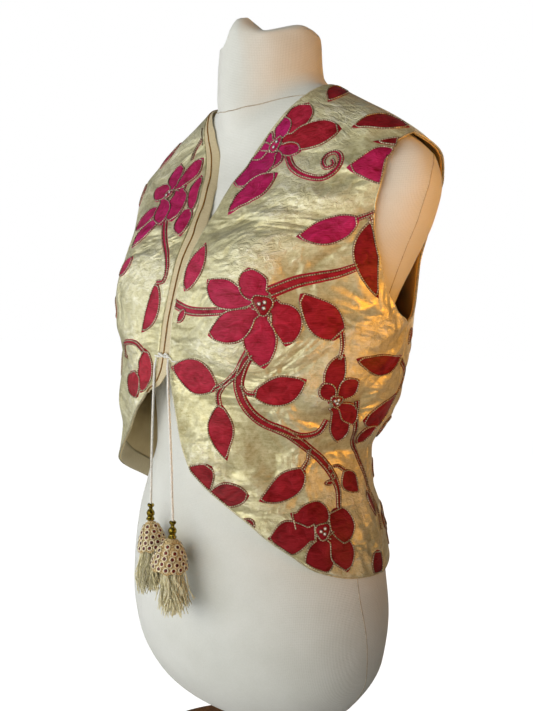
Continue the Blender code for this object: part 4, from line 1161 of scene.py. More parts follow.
# area lights: name, place, aim, size across, power, colour, and spread in degrees
LIGHTS = [
    ("window", (-1.5, -1.3, 0.65), (0, 0, 0.5), 2.4, 14.5, "#f0f5ff", 180),
    ("skylight", (0.0, -1.8, 1.3), (0.05, 0, 0.6), 1.6, 5.0, "#ffeec0", 180),
    ("floor_bounce", (0.15, -1.5, 0.02), (0, 0, 0.15), 2.4, 34.0, "#f4f6f8", 180),
    ("lamp", (1.0, 0.25, 0.52), (0.19, 0, 0.6), 0.5, 0.46, "#ffa818", 38),
    ("back_window", (-0.6, 2.0, 1.0), (0, 0, 0.55), 1.5, 8.0, "#ffecd0", 180),
]
ROOM_LIGHT = 0.11              # of the white room, which the camera sees at full strength
FLOOR_RINGS = (1.5, 3.4, 8.0)  # radii of the floor, in metres
FLOOR_SIDES = 72


def make_camera():
    forward = Vector(CAMERA_WAY).normalized()
    level = Vector(CAMERA_LEVEL).normalized()
    upright = level.cross(forward)
    roll = math.radians(CAMERA_ROLL)
    right = level * math.cos(roll) + upright * math.sin(roll)
    up = upright * math.cos(roll) - level * math.sin(roll)
    data = bpy.data.cameras.new("camera")
    data.sensor_width = data.sensor_height = SENSOR
    data.lens = LENS
    data.clip_start, data.clip_end = 0.01, 100.0
    camera = bpy.data.objects.new("camera", data)
    turn = Matrix((right, up, -forward)).transposed().to_4x4()
    camera.matrix_world = Matrix.Translation(CAMERA_PLACE) @ turn
    bpy.context.collection.objects.link(camera)
    bpy.context.scene.camera = camera


def make_light(name, place, aim, size, power, colour, spread):
    data = bpy.data.lights.new(name, "AREA")
    data.shape, data.size, data.energy, data.color = "DISK", size, power, srgb(colour)[:3]
    data.spread = math.radians(spread)
    light = bpy.data.objects.new(name, data)
    way = Vector(aim) - Vector(place)
    turn = way.to_track_quat("-Z", "Y").to_matrix().to_4x4()
    light.matrix_world = Matrix.Translation(place) @ turn
    bpy.context.collection.objects.link(light)


def make_studio():
    world = bpy.data.worlds.new("soft white room")
    bpy.context.scene.world = world
    world.use_nodes = True
    tree = world.node_tree
    tree.nodes.clear()
    room = add_node(tree, "ShaderNodeBackground",
                    {"Color": srgb("#f4f5f2"), "Strength": ROOM_LIGHT})
    paper = add_node(tree, "ShaderNodeBackground", {"Color": (1, 1, 1, 1), "Strength": 1.0})
    seen = add_node(tree, "ShaderNodeLightPath").outputs["Is Camera Ray"]
    both = add_node(tree, "ShaderNodeMixShader", {0: seen, 1: room.outputs[0], 2: paper.outputs[0]})
    add_node(tree, "ShaderNodeOutputWorld", {"Surface": both.outputs[0]})
    for light in LIGHTS:
        make_light(*light)
    points = [(0.0, 0.0, 0.0)]
    for radius in FLOOR_RINGS:
        points += [(radius * math.cos(a), radius * math.sin(a), 0.0)
                   for a in np.arange(FLOOR_SIDES) * math.tau / FLOOR_SIDES]
    sides = [(i, (i + 1) % FLOOR_SIDES) for i in range(FLOOR_SIDES)]
    faces = [(0, 1 + here, 1 + there) for here, there in sides]
    for row in range(len(FLOOR_RINGS) - 1):
        low, high = 1 + row * FLOOR_SIDES, 1 + (row + 1) * FLOOR_SIDES
        faces += [(low + here, high + here, high + there, low + there) for here, there in sides]
    mesh = bpy.data.meshes.new("floor")
    mesh.from_pydata(points, [], faces)
    mesh.materials.append(PAINT)
    floor = bpy.data.objects.new("floor", mesh)
    bpy.context.collection.objects.link(floor)
    bpy.context.scene.view_settings.view_transform = "Standard"
    bpy.context.scene.view_settings.look = "None"


# ---------------------------------------------------------------------------------- tie and tassels

def finished(piece, slot, *nodes):
    """Fixes a piece to the root, and hides the solids that it stands for; the slot is not used."""
    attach(piece, "root")
    if nodes:
        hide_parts(*nodes)
    return piece


def hung_parts(side):
    """Tops of the bead, skirt and tassel head below a cord, and the ways that they lean."""
    bead_top = Vector(CORD_ROUTES[side][-1]) - Vector((0, 0, GAP))
    skirt_top = bead_top - Vector((0, 0, BEAD_HEIGHT + SKIRT_CLEAR))
    skirt_way = Vector(SKIRT_LEAN[side]).normalized()
    return bead_top, skirt_top, skirt_way, skirt_top + skirt_way * HEAD_DROP


def make_cord(side):
    """The free cord, which runs on through its bead and skirt into the head of the tassel."""
    free = route_curve(CORD_ROUTES[side], 150)
    skirt_top, head_top = hung_parts(side)[1], hung_parts(side)[3]
    last = head_top + Vector(TASSEL_LEAN[side]).normalized() * (HEAD_HEIGHT + CORD_HOLD)
    inside = route_curve([free[-1], skirt_top, head_top, last], 40)
    path = np.concatenate([free, inside[1:]])
    made = Gather()
    made.tube(path, CORD_DIAMETER / 2, sides=18, deep=0.3, **CORD_LAY)
    return path, made.piece("twisted_cord_" + side, CORD, closed=True)


def make_knot():
    """Two cords wound once round each other, and the loop of thread that holds the left one."""
    made = Gather()
    share = np.linspace(0, 1, 70)
    for phase in (0.0, math.pi):
        wound = math.tau * KNOT_TURNS * share + phase
        full = 0.62 + 0.38 * np.sin(np.pi * share) ** 0.6
        path = np.stack([KNOT_CENTRE[0] + KNOT_LENGTH * (share - 0.5),
                         KNOT_CENTRE[1] + KNOT_STRAND * full * np.cos(wound) * 1.02,
                         KNOT_CENTRE[2] - KNOT_SAG * (2 * share - 1) ** 2
                         + KNOT_STRAND * full * np.sin(wound) * 1.02], -1)
        made.tube(path, KNOT_STRAND * full * 0.9, sides=16, deep=0.25, **CORD_LAY)
    made.tube(route_curve(KNOT_LOOP, 30), KNOT_LOOP_RADIUS, sides=8, lobes=2, pitch=1.6)
    finished(made.piece("tied_knot", CORD, closed=True), "cord", "tie_knot")


def loop_row(down, spread, place, loops):
    """A closed path round the skirt at a distance below its top, with one wave for each loop."""
    table = np.array(SKIRT_PROFILE, float)
    radius = np.interp(down, table[:, 1], table[:, 0]) * spread + LOOP_LIFT
    count = loops * LOOP_STEPS
    around = np.arange(count) * math.tau / count
    return [place @ Vector((radius * math.cos(a), radius * math.sin(a), -down + wave))
            for a, wave in zip(around, LOOP_WAVE * np.sin(loops * around))]


# ring sequins of a skirt: distance of each row below the top, and how many it has
SEQUIN_ROWS = ((5.6, 6), (10.4, 9), (15.2, 12), (20.0, 14), (24.8, 15))
SEQUIN_RING, SEQUIN_WIRE = 2.15, 0.72
SEQUIN_EYE, SEQUIN_EYE_WIRE = 0.85, 0.95
SEQUIN_LIFT = 0.75             # off the skirt's wall


def make_skirt(side, place, spread):
    """Crocheted cone: thin wall, rows of loops, a scalloped edge and ring sequins."""
    sides = SKIRT_SCALLOPS * 12
    table = np.array(SKIRT_PROFILE, float)
    downs = np.linspace(0, SKIRT_HEIGHT, SKIRT_ROWS)
    radii = smooth_table(table[:, 1], table[:, :1], downs)[:, 0] * spread
    around = np.arange(sides) * math.tau / sides
    edge = SCALLOP_DEPTH * (1 - np.abs(np.sin(SKIRT_SCALLOPS * around / 2)))
    points = []
    for thick, deeper in ((0, 0), (SKIRT_WALL, 0.02)):
        for down, radius in zip(downs, radii):
            at_edge = max(0.0, (down - SKIRT_HEIGHT * 0.8) / (SKIRT_HEIGHT * 0.2))
            puff = SCALLOP_PUFF * np.cos(SKIRT_SCALLOPS * around) * at_edge
            wall = radius + puff - thick
            drop = down - at_edge * (SCALLOP_DEPTH - edge)
            points.append([place @ Vector((max(0.8, w) * math.cos(a), max(0.8, w) * math.sin(a),
                                           -d - deeper))
                           for a, w, d in zip(around, wall, drop)])
    points = np.array(points[:SKIRT_ROWS] + points[SKIRT_ROWS:][::-1])
    cone = Gather()
    cone.grid(points, ring=True)
    cone.faces.append(tuple(range(sides)))
    cone.faces.append(tuple(range(cone.count - 1, cone.count - 1 - sides, -1)))
    wall = finished(cone.piece("crochet_skirt_" + side, CROCHET, closed=True), "crochet",
                    "tassel_skirt_" + side)
    paths = []
    for down in np.arange(2.5, SKIRT_HEIGHT - 2.5, LOOP_PITCH):
        loops = int(round(math.tau * np.interp(down, downs, radii) / LOOP_WIDE))
        paths.append((loop_row(down, spread, place, loops), True))
    scallops = []
    for a in np.arange(240) * math.tau / 240:
        radius = radii[-1] + SCALLOP_PUFF * math.cos(SKIRT_SCALLOPS * a) - 0.2
        down = (SKIRT_HEIGHT - SCALLOP_DEPTH * abs(math.sin(SKIRT_SCALLOPS * a / 2))
                + 0.3 * math.sin(60 * a))
        scallops.append(place @ Vector((radius * math.cos(a), radius * math.sin(a), -down)))
    paths.append((scallops, True))
    loops = finished(threads("crochet_loops_" + side, paths, LOOP_THREAD, CROCHET, 0.5, 6),
                     "crochet")
    spots, ways = [], []
    for row, (down, count) in enumerate(SEQUIN_ROWS):
        radius = np.interp(down, downs, radii)
        slope = (np.interp(down + 1, downs, radii) - np.interp(down - 1, downs, radii)) / 2
        for step in range(count):
            a = math.tau * (step + 0.5 * (row % 2)) / count
            way = Vector((math.cos(a), math.sin(a), slope)).normalized()
            spot = Vector((radius * math.cos(a), radius * math.sin(a), -down))
            spots.append(place @ (spot + way * SEQUIN_LIFT))
            ways.append((place.to_3x3() @ way)[:])
    discs = finished(rings("ring_sequins_" + side, spots, ways, SEQUIN_RING, SEQUIN_WIRE, SEQUIN,
                           (16, 6)), "brass")
    eyes = finished(rings("sequin_eyes_" + side, spots, ways, SEQUIN_EYE, SEQUIN_EYE_WIRE, GARNET,
                          (10, 6)), "crochet")
    return [wall, loops, discs, eyes]


def make_tassel(side, place, seed):
    """Silk floss hung from the head in crimped locks, whose strands fray and stray at the ends."""
    chance = random.Random(seed)
    paths = []
    for number in range(LOCKS):
        around, out = LOCK_TURN * number, math.sqrt((number + 0.5) / LOCKS)
        root = HEAD_RADIUS * 0.9 * out
        wide = HEAD_RADIUS * (2.7 * out + 0.3) + chance.uniform(-1.5, 1.5)
        long = STRAND_LENGTH * chance.uniform(0.86, 1.0) * (1 - 0.05 * out)
        bow = chance.uniform(-0.5, 0.5)
        lock_sway = [chance.uniform(-3, 3) for _ in range(2)]
        for strand in range(LOCK_STRANDS):
            astray = 1.9 if strand == 0 else 1.0
            aside_x, aside_y = (chance.gauss(0, 0.9) * astray for _ in range(2))
            reach = long * (1.0 - 0.3 * chance.random() ** 1.5)
            sway = [chance.uniform(-1, 1) for _ in range(4)]
            path = []
            for step in range(STRAND_STEPS + 1):
                t = step / STRAND_STEPS
                radius = root + (wide - root) * t ** 0.9
                turn = around + bow * t
                crimp, wave = 1.5 * min(1.0, 3 * t), 1.0 * astray * min(1.0, 2 * t)
                spread = 0.6 + 1.7 * t ** 1.3
                path.append(place @ Vector((
                    radius * math.cos(turn) + crimp * math.sin(9 * t + lock_sway[0])
                    + aside_x * spread + wave * math.sin(17 * t + sway[0] * 5) * sway[2],
                    radius * math.sin(turn) + crimp * math.sin(8 * t + lock_sway[1])
                    + aside_y * spread + wave * math.sin(15 * t + sway[1] * 5) * sway[3],
                    -HEAD_HEIGHT + 1.5 - reach * t)))
            paths.append((path, False))
    floss = finished(threads("silk_floss_" + side, paths, FLOSS_THREAD, FLOSS, 2.0, 3), "silk",
                     "tassel_" + side)
    profile = [(1.2, 0.0), (3.2, 2.0), (HEAD_RADIUS, 5.0), (HEAD_RADIUS, HEAD_HEIGHT),
               (HEAD_RADIUS * 0.4, HEAD_HEIGHT + 0.6)]
    head = turned("floss_head_" + side, profile, FLOSS, 28, place, 24)
    return [floss, finished(head, "silk")]


def make_tie():
    made = {side: make_cord(side) for side in CORD_ROUTES}
    make_knot()
    for side, (path, cord) in made.items():
        bead_top, skirt_top, skirt_way, head_top = hung_parts(side)
        bead = turned("brass_bead_" + side, BEAD_PROFILE, BRASS, 40,
                      leaning(bead_top, (0, 0, -1)), 48)
        finished(bead, "brass", "bead_" + side)
        pieces = make_skirt(side, leaning(skirt_top, skirt_way), SKIRT_SPREAD[side])
        pieces += make_tassel(side, leaning(head_top, TASSEL_LEAN[side]),
                              STRAND_SEED + len(side))
        finished(cord, "cord", "tie_cord_" + side)


# ----------------------------------------------------------------------------------- form and stand

# height of the loose top of the cover above the waist, for angles round the neck
NECK_TOP = 431.0
SEAM_THREAD = 1.1
SEAM_SUNK = 0.08               # depth of a seam's thread in the cover
NECK_RIM = [(-180, 420), (-120, 417), (-60, 411), (-20, 409), (-11, 411), (-5, 426), (0, 433),
            (8, 432), (20, 424), (36, 417), (55, 421), (79, 427), (100, 424), (130, 420),
            (180, 420)]

# sewn lines of the cover, as angles and heights: down each side and the back, round each arm, and
# round the neck as far as the centre of the back
COVER_SIDE = [(97, -266), (95.5, -236), (89, -170), (84, -106), (84, -50), (90, 20), (98, 120)]
COVER_BACK = [(180, level) for level in (-266, -100, 0, 120, 240, 300, 326)]
COVER_ARM = [(98, 120), (97, 148), (94.5, 164), (92, 176), (90, 190), (88.5, 202), (87.5, 215),
             (87, 228), (88.5, 241), (93.5, 255), (103, 266), (113, 262), (121, 250), (126, 232),
             (128, 210), (126, 184), (120, 160), (110, 138), (102, 122)]
COVER_NECK = [(0, 341), (17, 339), (34, 332), (54, 323), (72, 314), (90, 309), (120, 306),
              (150, 306)]


def make_form():
    """The foam form in its jersey cover, whose top is gathered loosely over the neck."""
    columns, rows = 144, 190
    table = np.array(FORM_RINGS, float)
    along = np.concatenate([[0.0], np.cumsum(np.hypot(np.diff(table[:, 0]), np.diff(table[:, 3])))])
    levels = smooth_table(along, table[:, :1], np.linspace(0, along[-1], rows))[:, 0]
    angles = np.arange(columns) * 360.0 / columns
    points = body_point(FORM_RINGS, FORM_BUST, angles[None, :], levels[:, None])
    turn, level = np.broadcast_arrays(np.radians(angles)[None, :], levels[:, None])
    top = np.clip((level - 392) / 38, 0, 1)
    rim = sum(np.interp((np.degrees(turn) + near + 180) % 360 - 180, [row[0] for row in NECK_RIM],
                        [row[1] for row in NECK_RIM]) for near in (-5, -2.5, 0, 2.5, 5)) / 5
    wrinkle = 0.7 * np.sin(5 * turn + 0.8) + 0.45 * np.sin(11 * turn + level * 0.06)
    points[..., 2] += top ** 1.5 * (rim - NECK_TOP)
    normal = np.stack([np.sin(turn), -np.cos(turn), np.zeros_like(turn)], -1)
    points += normal * (wrinkle * np.clip((level - 375) / 40, 0, 1))[..., None]
    body = Gather()
    body.grid(points, np.stack([np.degrees(turn) * 0.26, level / 10], -1), ring=True)
    centre = body.count
    body.points.append(np.array([[0, 0, float(points[0, :, 2].mean())],
                                 [0, -6, float(points[-1, :, 2].mean()) + 2.5]]))
    body.uv.append(np.zeros((2, 2)))
    body.tone.append(np.zeros(2))
    body.count += 2
    last = (rows - 1) * columns
    for column in range(columns):
        after = (column + 1) % columns
        body.faces.append((centre, column, after))
        body.faces.append((centre + 1, last + after, last + column))
    finished(body.piece("jersey_form", JERSEY, closed=True), "form", "form_torso")

    def on_form(line, count=120):
        rows = np.array(line, float)
        reach = run_along(body_point(FORM_RINGS, FORM_BUST, rows[:, 0], rows[:, 1]))
        angle, ring = smooth_table(reach, rows, np.linspace(0, reach[-1], count)).T
        spot = body_point(FORM_RINGS, FORM_BUST, angle, ring)
        across = body_point(FORM_RINGS, FORM_BUST, angle + 1, ring) - spot
        up = body_point(FORM_RINGS, FORM_BUST, angle, ring + 1) - spot
        out = np.cross(across, up)
        out /= np.linalg.norm(out, axis=-1, keepdims=True)
        return spot - out * SEAM_SUNK

    def on_both_sides(line):
        return [(on_form([(sign * angle, ring) for angle, ring in line]), False)
                for sign in (1, -1)]

    neck = COVER_NECK + [(180, 306)] + [(360 - angle, ring) for angle, ring in reversed(COVER_NECK)]
    seams = on_both_sides(COVER_SIDE) + [(on_form(COVER_BACK), False)] + on_both_sides(COVER_ARM)
    seams.append((on_form(neck, 160)[:-1], True))
    finished(threads("cover_seams", seams, SEAM_THREAD, SEWING, 2.0, 6), "form")


def make_stand():
    """Beech base, collar and post; each profile runs down from its own top."""
    base_top = BASE_THICK - WAIST_HEIGHT
    collar_top = base_top + GAP + COLLAR_HEIGHT
    post_top = FORM_BOTTOM - GAP
    length = post_top - collar_top - GAP
    base = [(0.5, 0), (BASE_RADIUS - 40, 0), (BASE_RADIUS - 12, 0.1), (BASE_RADIUS - 5, 2.5),
            (BASE_RADIUS - 1, 7), (BASE_RADIUS, 12), (BASE_RADIUS, BASE_THICK - 3),
            (BASE_RADIUS - 2, BASE_THICK)]
    collar = [(POST_RADIUS + 0.4, 0), (COLLAR_RADIUS - 12, 0.2), (COLLAR_RADIUS - 10, 3),
              (COLLAR_RADIUS - 3, 9), (COLLAR_RADIUS, 13), (COLLAR_RADIUS, COLLAR_HEIGHT)]
    post = [(POST_RADIUS, 0), (POST_RADIUS, length * 0.9), (POST_RADIUS - 0.6, length * 0.92),
            (POST_RADIUS, length * 0.94), (POST_RADIUS, length)]
    for name, profile, top, sides, rows in (("base", base, base_top, 96, 80),
                                            ("collar", collar, collar_top, 72, 48),
                                            ("post", post, post_top, 64, 60)):
        place = Matrix.Translation((0, 0, top))
        finished(turned("beech_" + name, profile, BEECH, sides, place, rows), "wood",
                 "stand_" + name)


# ------------------------------------------------------------------------- waistcoat and embroidery

OUTLINES = {                   # half width along a leaf, from its base to its tip
    "leaf": lambda s: np.sin(np.pi * s ** 0.9) ** 0.85,
    "petal": lambda s: np.maximum(0.55 * (1 - s) ** 0.8, np.sin(np.pi * s ** 1.1) ** 0.75),
    "broad": lambda s: np.sin(np.pi * s ** 0.72) ** 0.62,
}
ACROSS = np.array([-1.0, -0.93, -0.66, -0.33, 0.0, 0.33, 0.66, 0.93, 1.0])
RISE = np.array([-0.3, 0.25, 0.42, 0.5, 0.52, 0.5, 0.42, 0.25, -0.3])
THREAD_WIDE = 1.35             # of the couched thread
COUCHED_UP = 0.65              # of the couched thread above the cloth
STEP_UP = 0.2                  # of a petal that lies over another
RED_MARGIN = 1.3               # of red silk left outside its couching
LEAF_SEED = 11


def strip_over(side, angle, ring, half, across, rise):
    """Places of a strip of cloth over a path, and the same strip's angles and rings."""
    d_angle, d_ring = np.gradient(angle), np.gradient(ring)
    a_mm, r_mm = aside(angle, ring, d_angle, d_ring)
    offset = half[:, None] * across[None, :]
    wide_angle = angle[:, None] + a_mm[:, None] * offset
    wide_ring = ring[:, None] + r_mm[:, None] * offset
    wide_angle, wide_ring = trimmed(side, wide_angle, wide_ring)
    return cloth_point(wide_angle, wide_ring, rise), wide_angle, wide_ring


def left_and_up(angle, ring):
    """Changes of angle and ring for one millimetre to the left on the cloth, and for one up it."""
    angle, ring, still, going = (np.float64(value) for value in (angle, ring, 0, 1))
    return (*aside(angle, ring, still, going), *aside(angle, ring, going, still))


def leaf_outline(side, leaf, chance):
    """The centre line and half widths of a leaf, and its rim as angles and rings."""
    s = np.linspace(0.0, 1.0, 21)
    ends = coat_point(np.array([leaf.angle, leaf.tip_angle]), np.array([leaf.ring, leaf.tip_ring]))
    length = float(np.linalg.norm(ends[1] - ends[0]))
    angle = leaf.angle + (leaf.tip_angle - leaf.angle) * s
    ring = leaf.ring + (leaf.tip_ring - leaf.ring) * s
    a_mm, r_mm = aside(angle, ring, np.gradient(angle), np.gradient(ring))
    bow = leaf.bend * length * np.sin(np.pi * s)
    angle, ring = angle + a_mm * bow, ring + r_mm * bow
    uneven = 1 + 0.06 * np.sin(s * chance.uniform(5, 9) + chance.uniform(0, 6))
    half = leaf.wide / 2 * OUTLINES[leaf.outline](s) * uneven
    inner = half > RED_MARGIN
    return angle, ring, half, rim_of(side, angle[inner], ring[inner], half[inner] - RED_MARGIN)


def rim_of(side, angle, ring, half):
    """The closed line round a strip."""
    a_mm, r_mm = aside(angle, ring, np.gradient(angle), np.gradient(ring))
    there, back = ((angle + a_mm * h, ring + r_mm * h) for h in (-half, half))
    whole = [np.concatenate([one, other[-2:0:-1]]) for one, other in zip(there, back)]
    return np.stack(trimmed(side, *whole), -1)


def within(rim, points):
    """Which points lie inside a closed line, counting its crossings to one side."""
    low, high = rim, np.roll(rim, -1, axis=0)
    y = points[:, 1][:, None]
    crosses = (low[:, 1] > y) != (high[:, 1] > y)
    rise = np.where(high[:, 1] == low[:, 1], 1.0, high[:, 1] - low[:, 1])
    at = low[:, 0] + (y - low[:, 1]) / rise * (high[:, 0] - low[:, 0])
    return (crosses & (points[:, 0][:, None] < at)).sum(axis=1) % 2 == 1


def sew_rim(rim, closed, covers, lift, lines):
    """Lays couching along a line where nothing sewn on later covers it."""
    hidden = np.zeros(len(rim), bool)
    for cover in covers:
        hidden |= within(cover, rim)
    if not hidden.any():
        lines.append((cloth_point(rim[:, 0], rim[:, 1], lift), closed))
        return
    if closed:
        turn = int(np.argmax(hidden))
        rim, hidden = np.roll(rim, -turn, axis=0), np.roll(hidden, -turn)
        rim, hidden = np.concatenate([rim, rim[:1]]), np.append(hidden, True)
    shown = np.flatnonzero(~hidden)
    for run in np.split(shown, np.flatnonzero(np.diff(shown) > 1) + 1):
        if len(run) > 1:
            reach = np.arange(max(run[0] - 1, 0), min(run[-1] + 2, len(rim)))
            lines.append((cloth_point(rim[reach, 0], rim[reach, 1], lift), False))


def sew_leaf(side, leaf, outline, cut, level):
    """Sews a leaf at a level above the cloth."""
    angle, ring, half = outline[:3]
    points, wide_angle, wide_ring = strip_over(side, angle, ring, half, ACROSS,
                                               RISE[None, :] + level)
    cut.grid(points, np.stack([wide_angle * ROUND_MM / 10, wide_ring / 10], -1), leaf.tone)


def sew_stem(side, stem, cut):
    """Sews a stem and gives back the lines along its two sides."""
    rows = np.array(stem.path, float)
    along = run_along(coat_point(rows[:, 0], rows[:, 1]))
    knots = np.linspace(0, along[-1], max(9, int(along[-1] / 2.5)))
    fine = flowing(along, rows, knots)
    angle, ring = fine[:, 0], fine[:, 1]
    half = np.full(len(angle), stem.wide / 2) * (1 - 0.4 * np.linspace(0, 1, len(angle)) ** 2)
    across = np.array([-1.0, -0.8, 0.0, 0.8, 1.0])
    points, wide_angle, wide_ring = strip_over(side, angle, ring, half, across,
                                               np.array([[-0.3, 0.25, 0.4, 0.25, -0.3]]))
    cut.grid(points, np.stack([wide_angle * ROUND_MM / 10, wide_ring / 10], -1), stem.tone)
    a_mm, r_mm = aside(angle, ring, np.gradient(angle), np.gradient(ring))
    off = np.maximum(half * 0.5, 0.9)
    return [np.stack(trimmed(side, angle + a_mm * o, ring + r_mm * o), -1) for o in (-off, off)]


def flowing(keys, values, at):
    """Smooth curve through table rows that may swing past them, as a stem drawn by hand does."""
    keys, values = np.asarray(keys, float), np.asarray(values, float)
    slope = np.gradient(values, keys, axis=0)
    row = np.clip(np.searchsorted(keys, at, side="right") - 1, 0, len(keys) - 2)
    width = (keys[row + 1] - keys[row])[:, None]
    t = (at - keys[row])[:, None] / width
    return ((1 + 2 * t) * (1 - t) ** 2 * values[row] + t * (1 - t) ** 2 * width * slope[row]
            + t * t * (3 - 2 * t) * values[row + 1] + t * t * (t - 1) * width * slope[row + 1])


def sew_eye(side, eye, cut, lines, stones, ways):
    """Sews the padded middle of a flower, with couching round it and stones set on it."""
    around = np.arange(16) * math.tau / 16
    a_mm, r_mm, a_up, r_up = left_and_up(eye.angle, eye.ring)

    def spot(x, y, out):
        angle, ring = trimmed(side, eye.angle - a_mm * x + a_up * y, eye.ring - r_mm * x + r_up * y)
        return cloth_point(angle, ring, out)

    wide = eye.reach * (0.86 + 0.14 * np.sin(3 * around))
    rims = [spot(wide * f * np.cos(around), wide * f * np.sin(around), out)
            for f, out in ((1.0, 0.4), (0.88, 1.5), (0.45, 1.8), (0.02, 1.85))]
    disc = np.array(rims)[:, ::-1]
    cut.grid(disc, None, 0.15 + 0.5 * (side == "left" and eye.ring < 200), ring=True)
    lines.append((spot(wide * np.cos(around), wide * np.sin(around), 1.6), True))
    for step in range(eye.stones):
        turn = math.tau * step / max(1, eye.stones) + 0.9
        reach = 0.0 if eye.stones == 1 else eye.reach * 0.3
        x, y = reach * math.cos(turn), reach * math.sin(turn)
        stones.append(spot(np.float64(x), np.float64(y), 2.3))
        ways.append(coat_normal(np.float64(eye.angle), np.float64(eye.ring)))


def petals_of(flower):
    """Rows of petals for a whole flower, with every second one a little shorter."""
    rows = []
    a_side, r_side, a_up, r_up = left_and_up(flower.angle, flower.ring)
    for step in range(flower.petals):
        turn = math.radians(flower.turn + 360 / flower.petals * step)
        x, y = math.cos(turn), math.sin(turn)
        ends = [float(value)
                for reach in (flower.reach * 0.16, flower.reach * (1.0 if step % 2 else 0.84))
                for value in (flower.angle - a_side * x * reach + a_up * y * reach,
                              flower.ring - r_side * x * reach + r_up * y * reach)]
        rows.append(Leaf(*ends, flower.reach * 0.62, 0.05, "petal", flower.tone))
    return rows


def embroider(side, leaves, stems, flowers, eyes):
    """Sews a panel's stems, leaves, petals and eyes, each couched where nothing covers it."""
    chance = random.Random(LEAF_SEED + len(side))
    cut, lines, stones, ways = Gather(), [], [], []
    sides = [line for stem in stems for line in sew_stem(side, stem, cut)]
    rows = list(leaves)
    for flower in flowers:
        rows += petals_of(flower)
    outlines = [leaf_outline(side, leaf, chance) for leaf in rows]
    rims = [outline[3] for outline in outlines]
    for line in sides:
        sew_rim(line, False, rims, COUCHED_UP, lines)
    for number, (leaf, outline) in enumerate(zip(rows, outlines)):
        under = sum(bool(within(rim, rims[number]).any()) for rim in rims[:number])
        level = STEP_UP * min(under, 5)
        sew_leaf(side, leaf, outline, cut, level)
        sew_rim(rims[number], True, rims[number + 1:], COUCHED_UP + level, lines)
    for eye in [*eyes, *[Eye(f.angle, f.ring, f.reach * 0.26, 3) for f in flowers]]:
        sew_eye(side, eye, cut, lines, stones, ways)
    return [
        finished(cut.piece("applique_" + side, DUPION), "cloth"),
        finished(threads("couching_" + side, lines, THREAD_WIDE, COUCHING, 1.5, 6), "brass"),
        finished(rings("stone_settings_" + side, stones, ways, 1.45, 0.5, SILVER, (12, 6)),
                 "brass"),
        finished(rings("stones_" + side, stones, ways, 0.45, 0.85, GLASS, (10, 6)), "brass"),
    ]


# columns and rows of each panel's grid, and of the back's how many of its rows are the shoulder's
CLOTH_GRIDS = {"left": (100, 150), "right": (90, 130), "back": (130, 130, 26)}
LINING_GRIDS = {"left": (46, 64), "right": (46, 64), "back": (60, 60, 14)}
# the solid in the part's model that each panel stands for
PANEL_NODES = {"left": "left_front", "right": "right_front", "back": "back"}
EDGE_ROLL = 1.9                # thickness of the rolled edge of the silk

FACING_SHOWN = 16.0
HEM_FACING = 20.0              # width of the satin inside the right front's hem
HOLLOW_DEEP = 5.0              # that the facing falls in where the front stands off the form


def panel_grid(side, steps):
    return back_grid(*steps) if side == "back" else front_grid(side, *steps)


def armhole(edge):
    return [point for point in edge if point.ring >= ARMHOLE_LOW]


def mirrored_rows():
    """The back's leaves, stems and flowers again, on its other half."""
    leaves = [leaf._replace(angle=360 - leaf.angle, tip_angle=360 - leaf.tip_angle,
                            bend=-leaf.bend) for leaf in BACK_LEAVES]
    stems = [stem._replace(path=[(360 - a, r) for a, r in stem.path]) for stem in BACK_STEMS]
    flowers = [f._replace(angle=360 - f.angle, turn=180 - f.turn) for f in BACK_FLOWERS[:2]]
    return leaves, stems, flowers


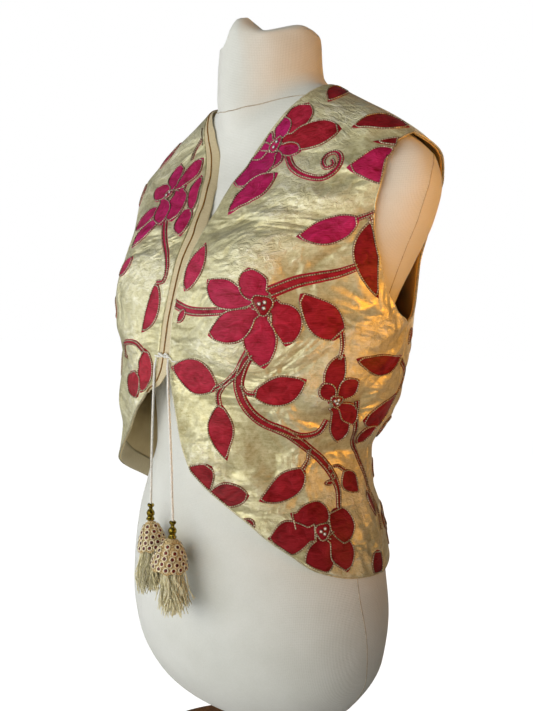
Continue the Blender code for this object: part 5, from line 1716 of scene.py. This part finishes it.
def make_waistcoat():
    """Each panel: outer cloth with its embroidery and rolled edges, and the lining inside it."""
    edges = {
        "left": [LEFT_OPENING, LEFT_HEM, armhole(FRONT_SIDE)],
        "right": [RIGHT_HEM, mirror_edge(armhole(FRONT_SIDE))],
        "back": [both_halves(BACK_HEM), both_halves(BACK_NECK), armhole(BACK_SIDE),
                 round_back(armhole(BACK_SIDE))],
    }
    vines = {
        "left": (LEFT_LEAVES, LEFT_STEMS, []), "right": (RIGHT_LEAVES, RIGHT_STEMS, RIGHT_FLOWERS),
        "back": [one + other for one, other in
                 zip((BACK_LEAVES, BACK_STEMS, BACK_FLOWERS), mirrored_rows())],
    }
    for side, steps in CLOTH_GRIDS.items():
        cloth = finished(shell("waistcoat_" + side, panel_grid(side, steps), LINING_THICK + GAP,
                               CLOTH_FACE, SILK, True), "cloth", PANEL_NODES[side])
        pieces = embroider(side, *vines[side], EYES[side])
        rolled = [(cloth_point(*edge_curve(edge, 160).T, -CLOTH_THICK / 2), False)
                  for edge in edges[side]]
        pieces.append(finished(threads("turned_edge_" + side, rolled, EDGE_ROLL, SILK_EDGE, 2.0, 8),
                               "cloth"))
        if side == "right":
            pieces += make_facing()
        lining_nodes = [] if side == "left" else ["lining_" + PANEL_NODES[side]]
        # the back's lining is painted with amber lamp light; the fronts' lining is the plain cream
        inside = BACK_LINING if side == "back" else LINING
        lining = finished(shell("lining_of_" + side, panel_grid(side, LINING_GRIDS[side]), 0.0,
                                LINING_THICK, inside, False), "lining", *lining_nodes)


def make_facing():
    """Satin facing that rolls out past the right front's edge, the dark piping between, partly painted
    shade, and its hem.
    """
    share = np.linspace(0, 1, 151)
    shown = -FACING_SHOWN * np.clip(share * 12, 0.15, 1) * np.clip((1 - share) * 5, 0.1, 1)
    angle, ring, far_angle, far_ring = beside_edge(RIGHT_OPENING, 150, shown)
    across = np.array([-0.3, 0.0, 0.3, 0.6, 0.9, 1.0, 1.0, 0.6, 0.0, -0.3])
    under = np.array([1.1, 0.9, 0.9, 1.2, 1.7, 2.1, 2.4, 2.1, 1.8, 1.8])
    wide_angle = angle[:, None] + (far_angle - angle)[:, None] * across
    wide_ring = ring[:, None] + (far_ring - ring)[:, None] * across
    hollow = np.clip((ring - 80) / 60, 0, 1) * np.clip((325 - ring) / 45, 0, 1)
    deep = under + HOLLOW_DEEP * hollow[:, None] * np.clip(across, 0, 1) ** 1.5
    band = Gather()
    band.grid(cloth_point(wide_angle, wide_ring, -deep)[:, ::-1],
              np.stack([wide_ring / 10, wide_angle * ROUND_MM / 10], -1)[:, ::-1])
    satin = finished(band.piece("facing_right", SATIN), "lining")
    # the piping lies in the join of front and facing, dark to draw the shade there
    cord = (cloth_point(angle + (far_angle - angle) * 0.4, ring + (far_ring - ring) * 0.4,
                        -0.8 - HOLLOW_DEEP * hollow * 0.4 ** 1.5), False)
    piping = finished(threads("piping_right", [cord], 1.5, PIPING_SHADE_LINE, 2.0, 8), "lining")
    angle, ring, far_angle, far_ring = beside_edge(RIGHT_HEM, 90, -HEM_FACING)
    share = np.linspace(0, 1, 8)[:, None]
    grid = np.stack([angle + (far_angle - angle) * share, ring + (far_ring - ring) * share], -1)
    hem = finished(shell("hem_facing_right", grid, -0.55, -0.15, SATIN, False), "lining")
    return [satin, hem, piping]


make_camera()
make_tie()
make_studio()
make_form()
make_stand()
make_waistcoat()
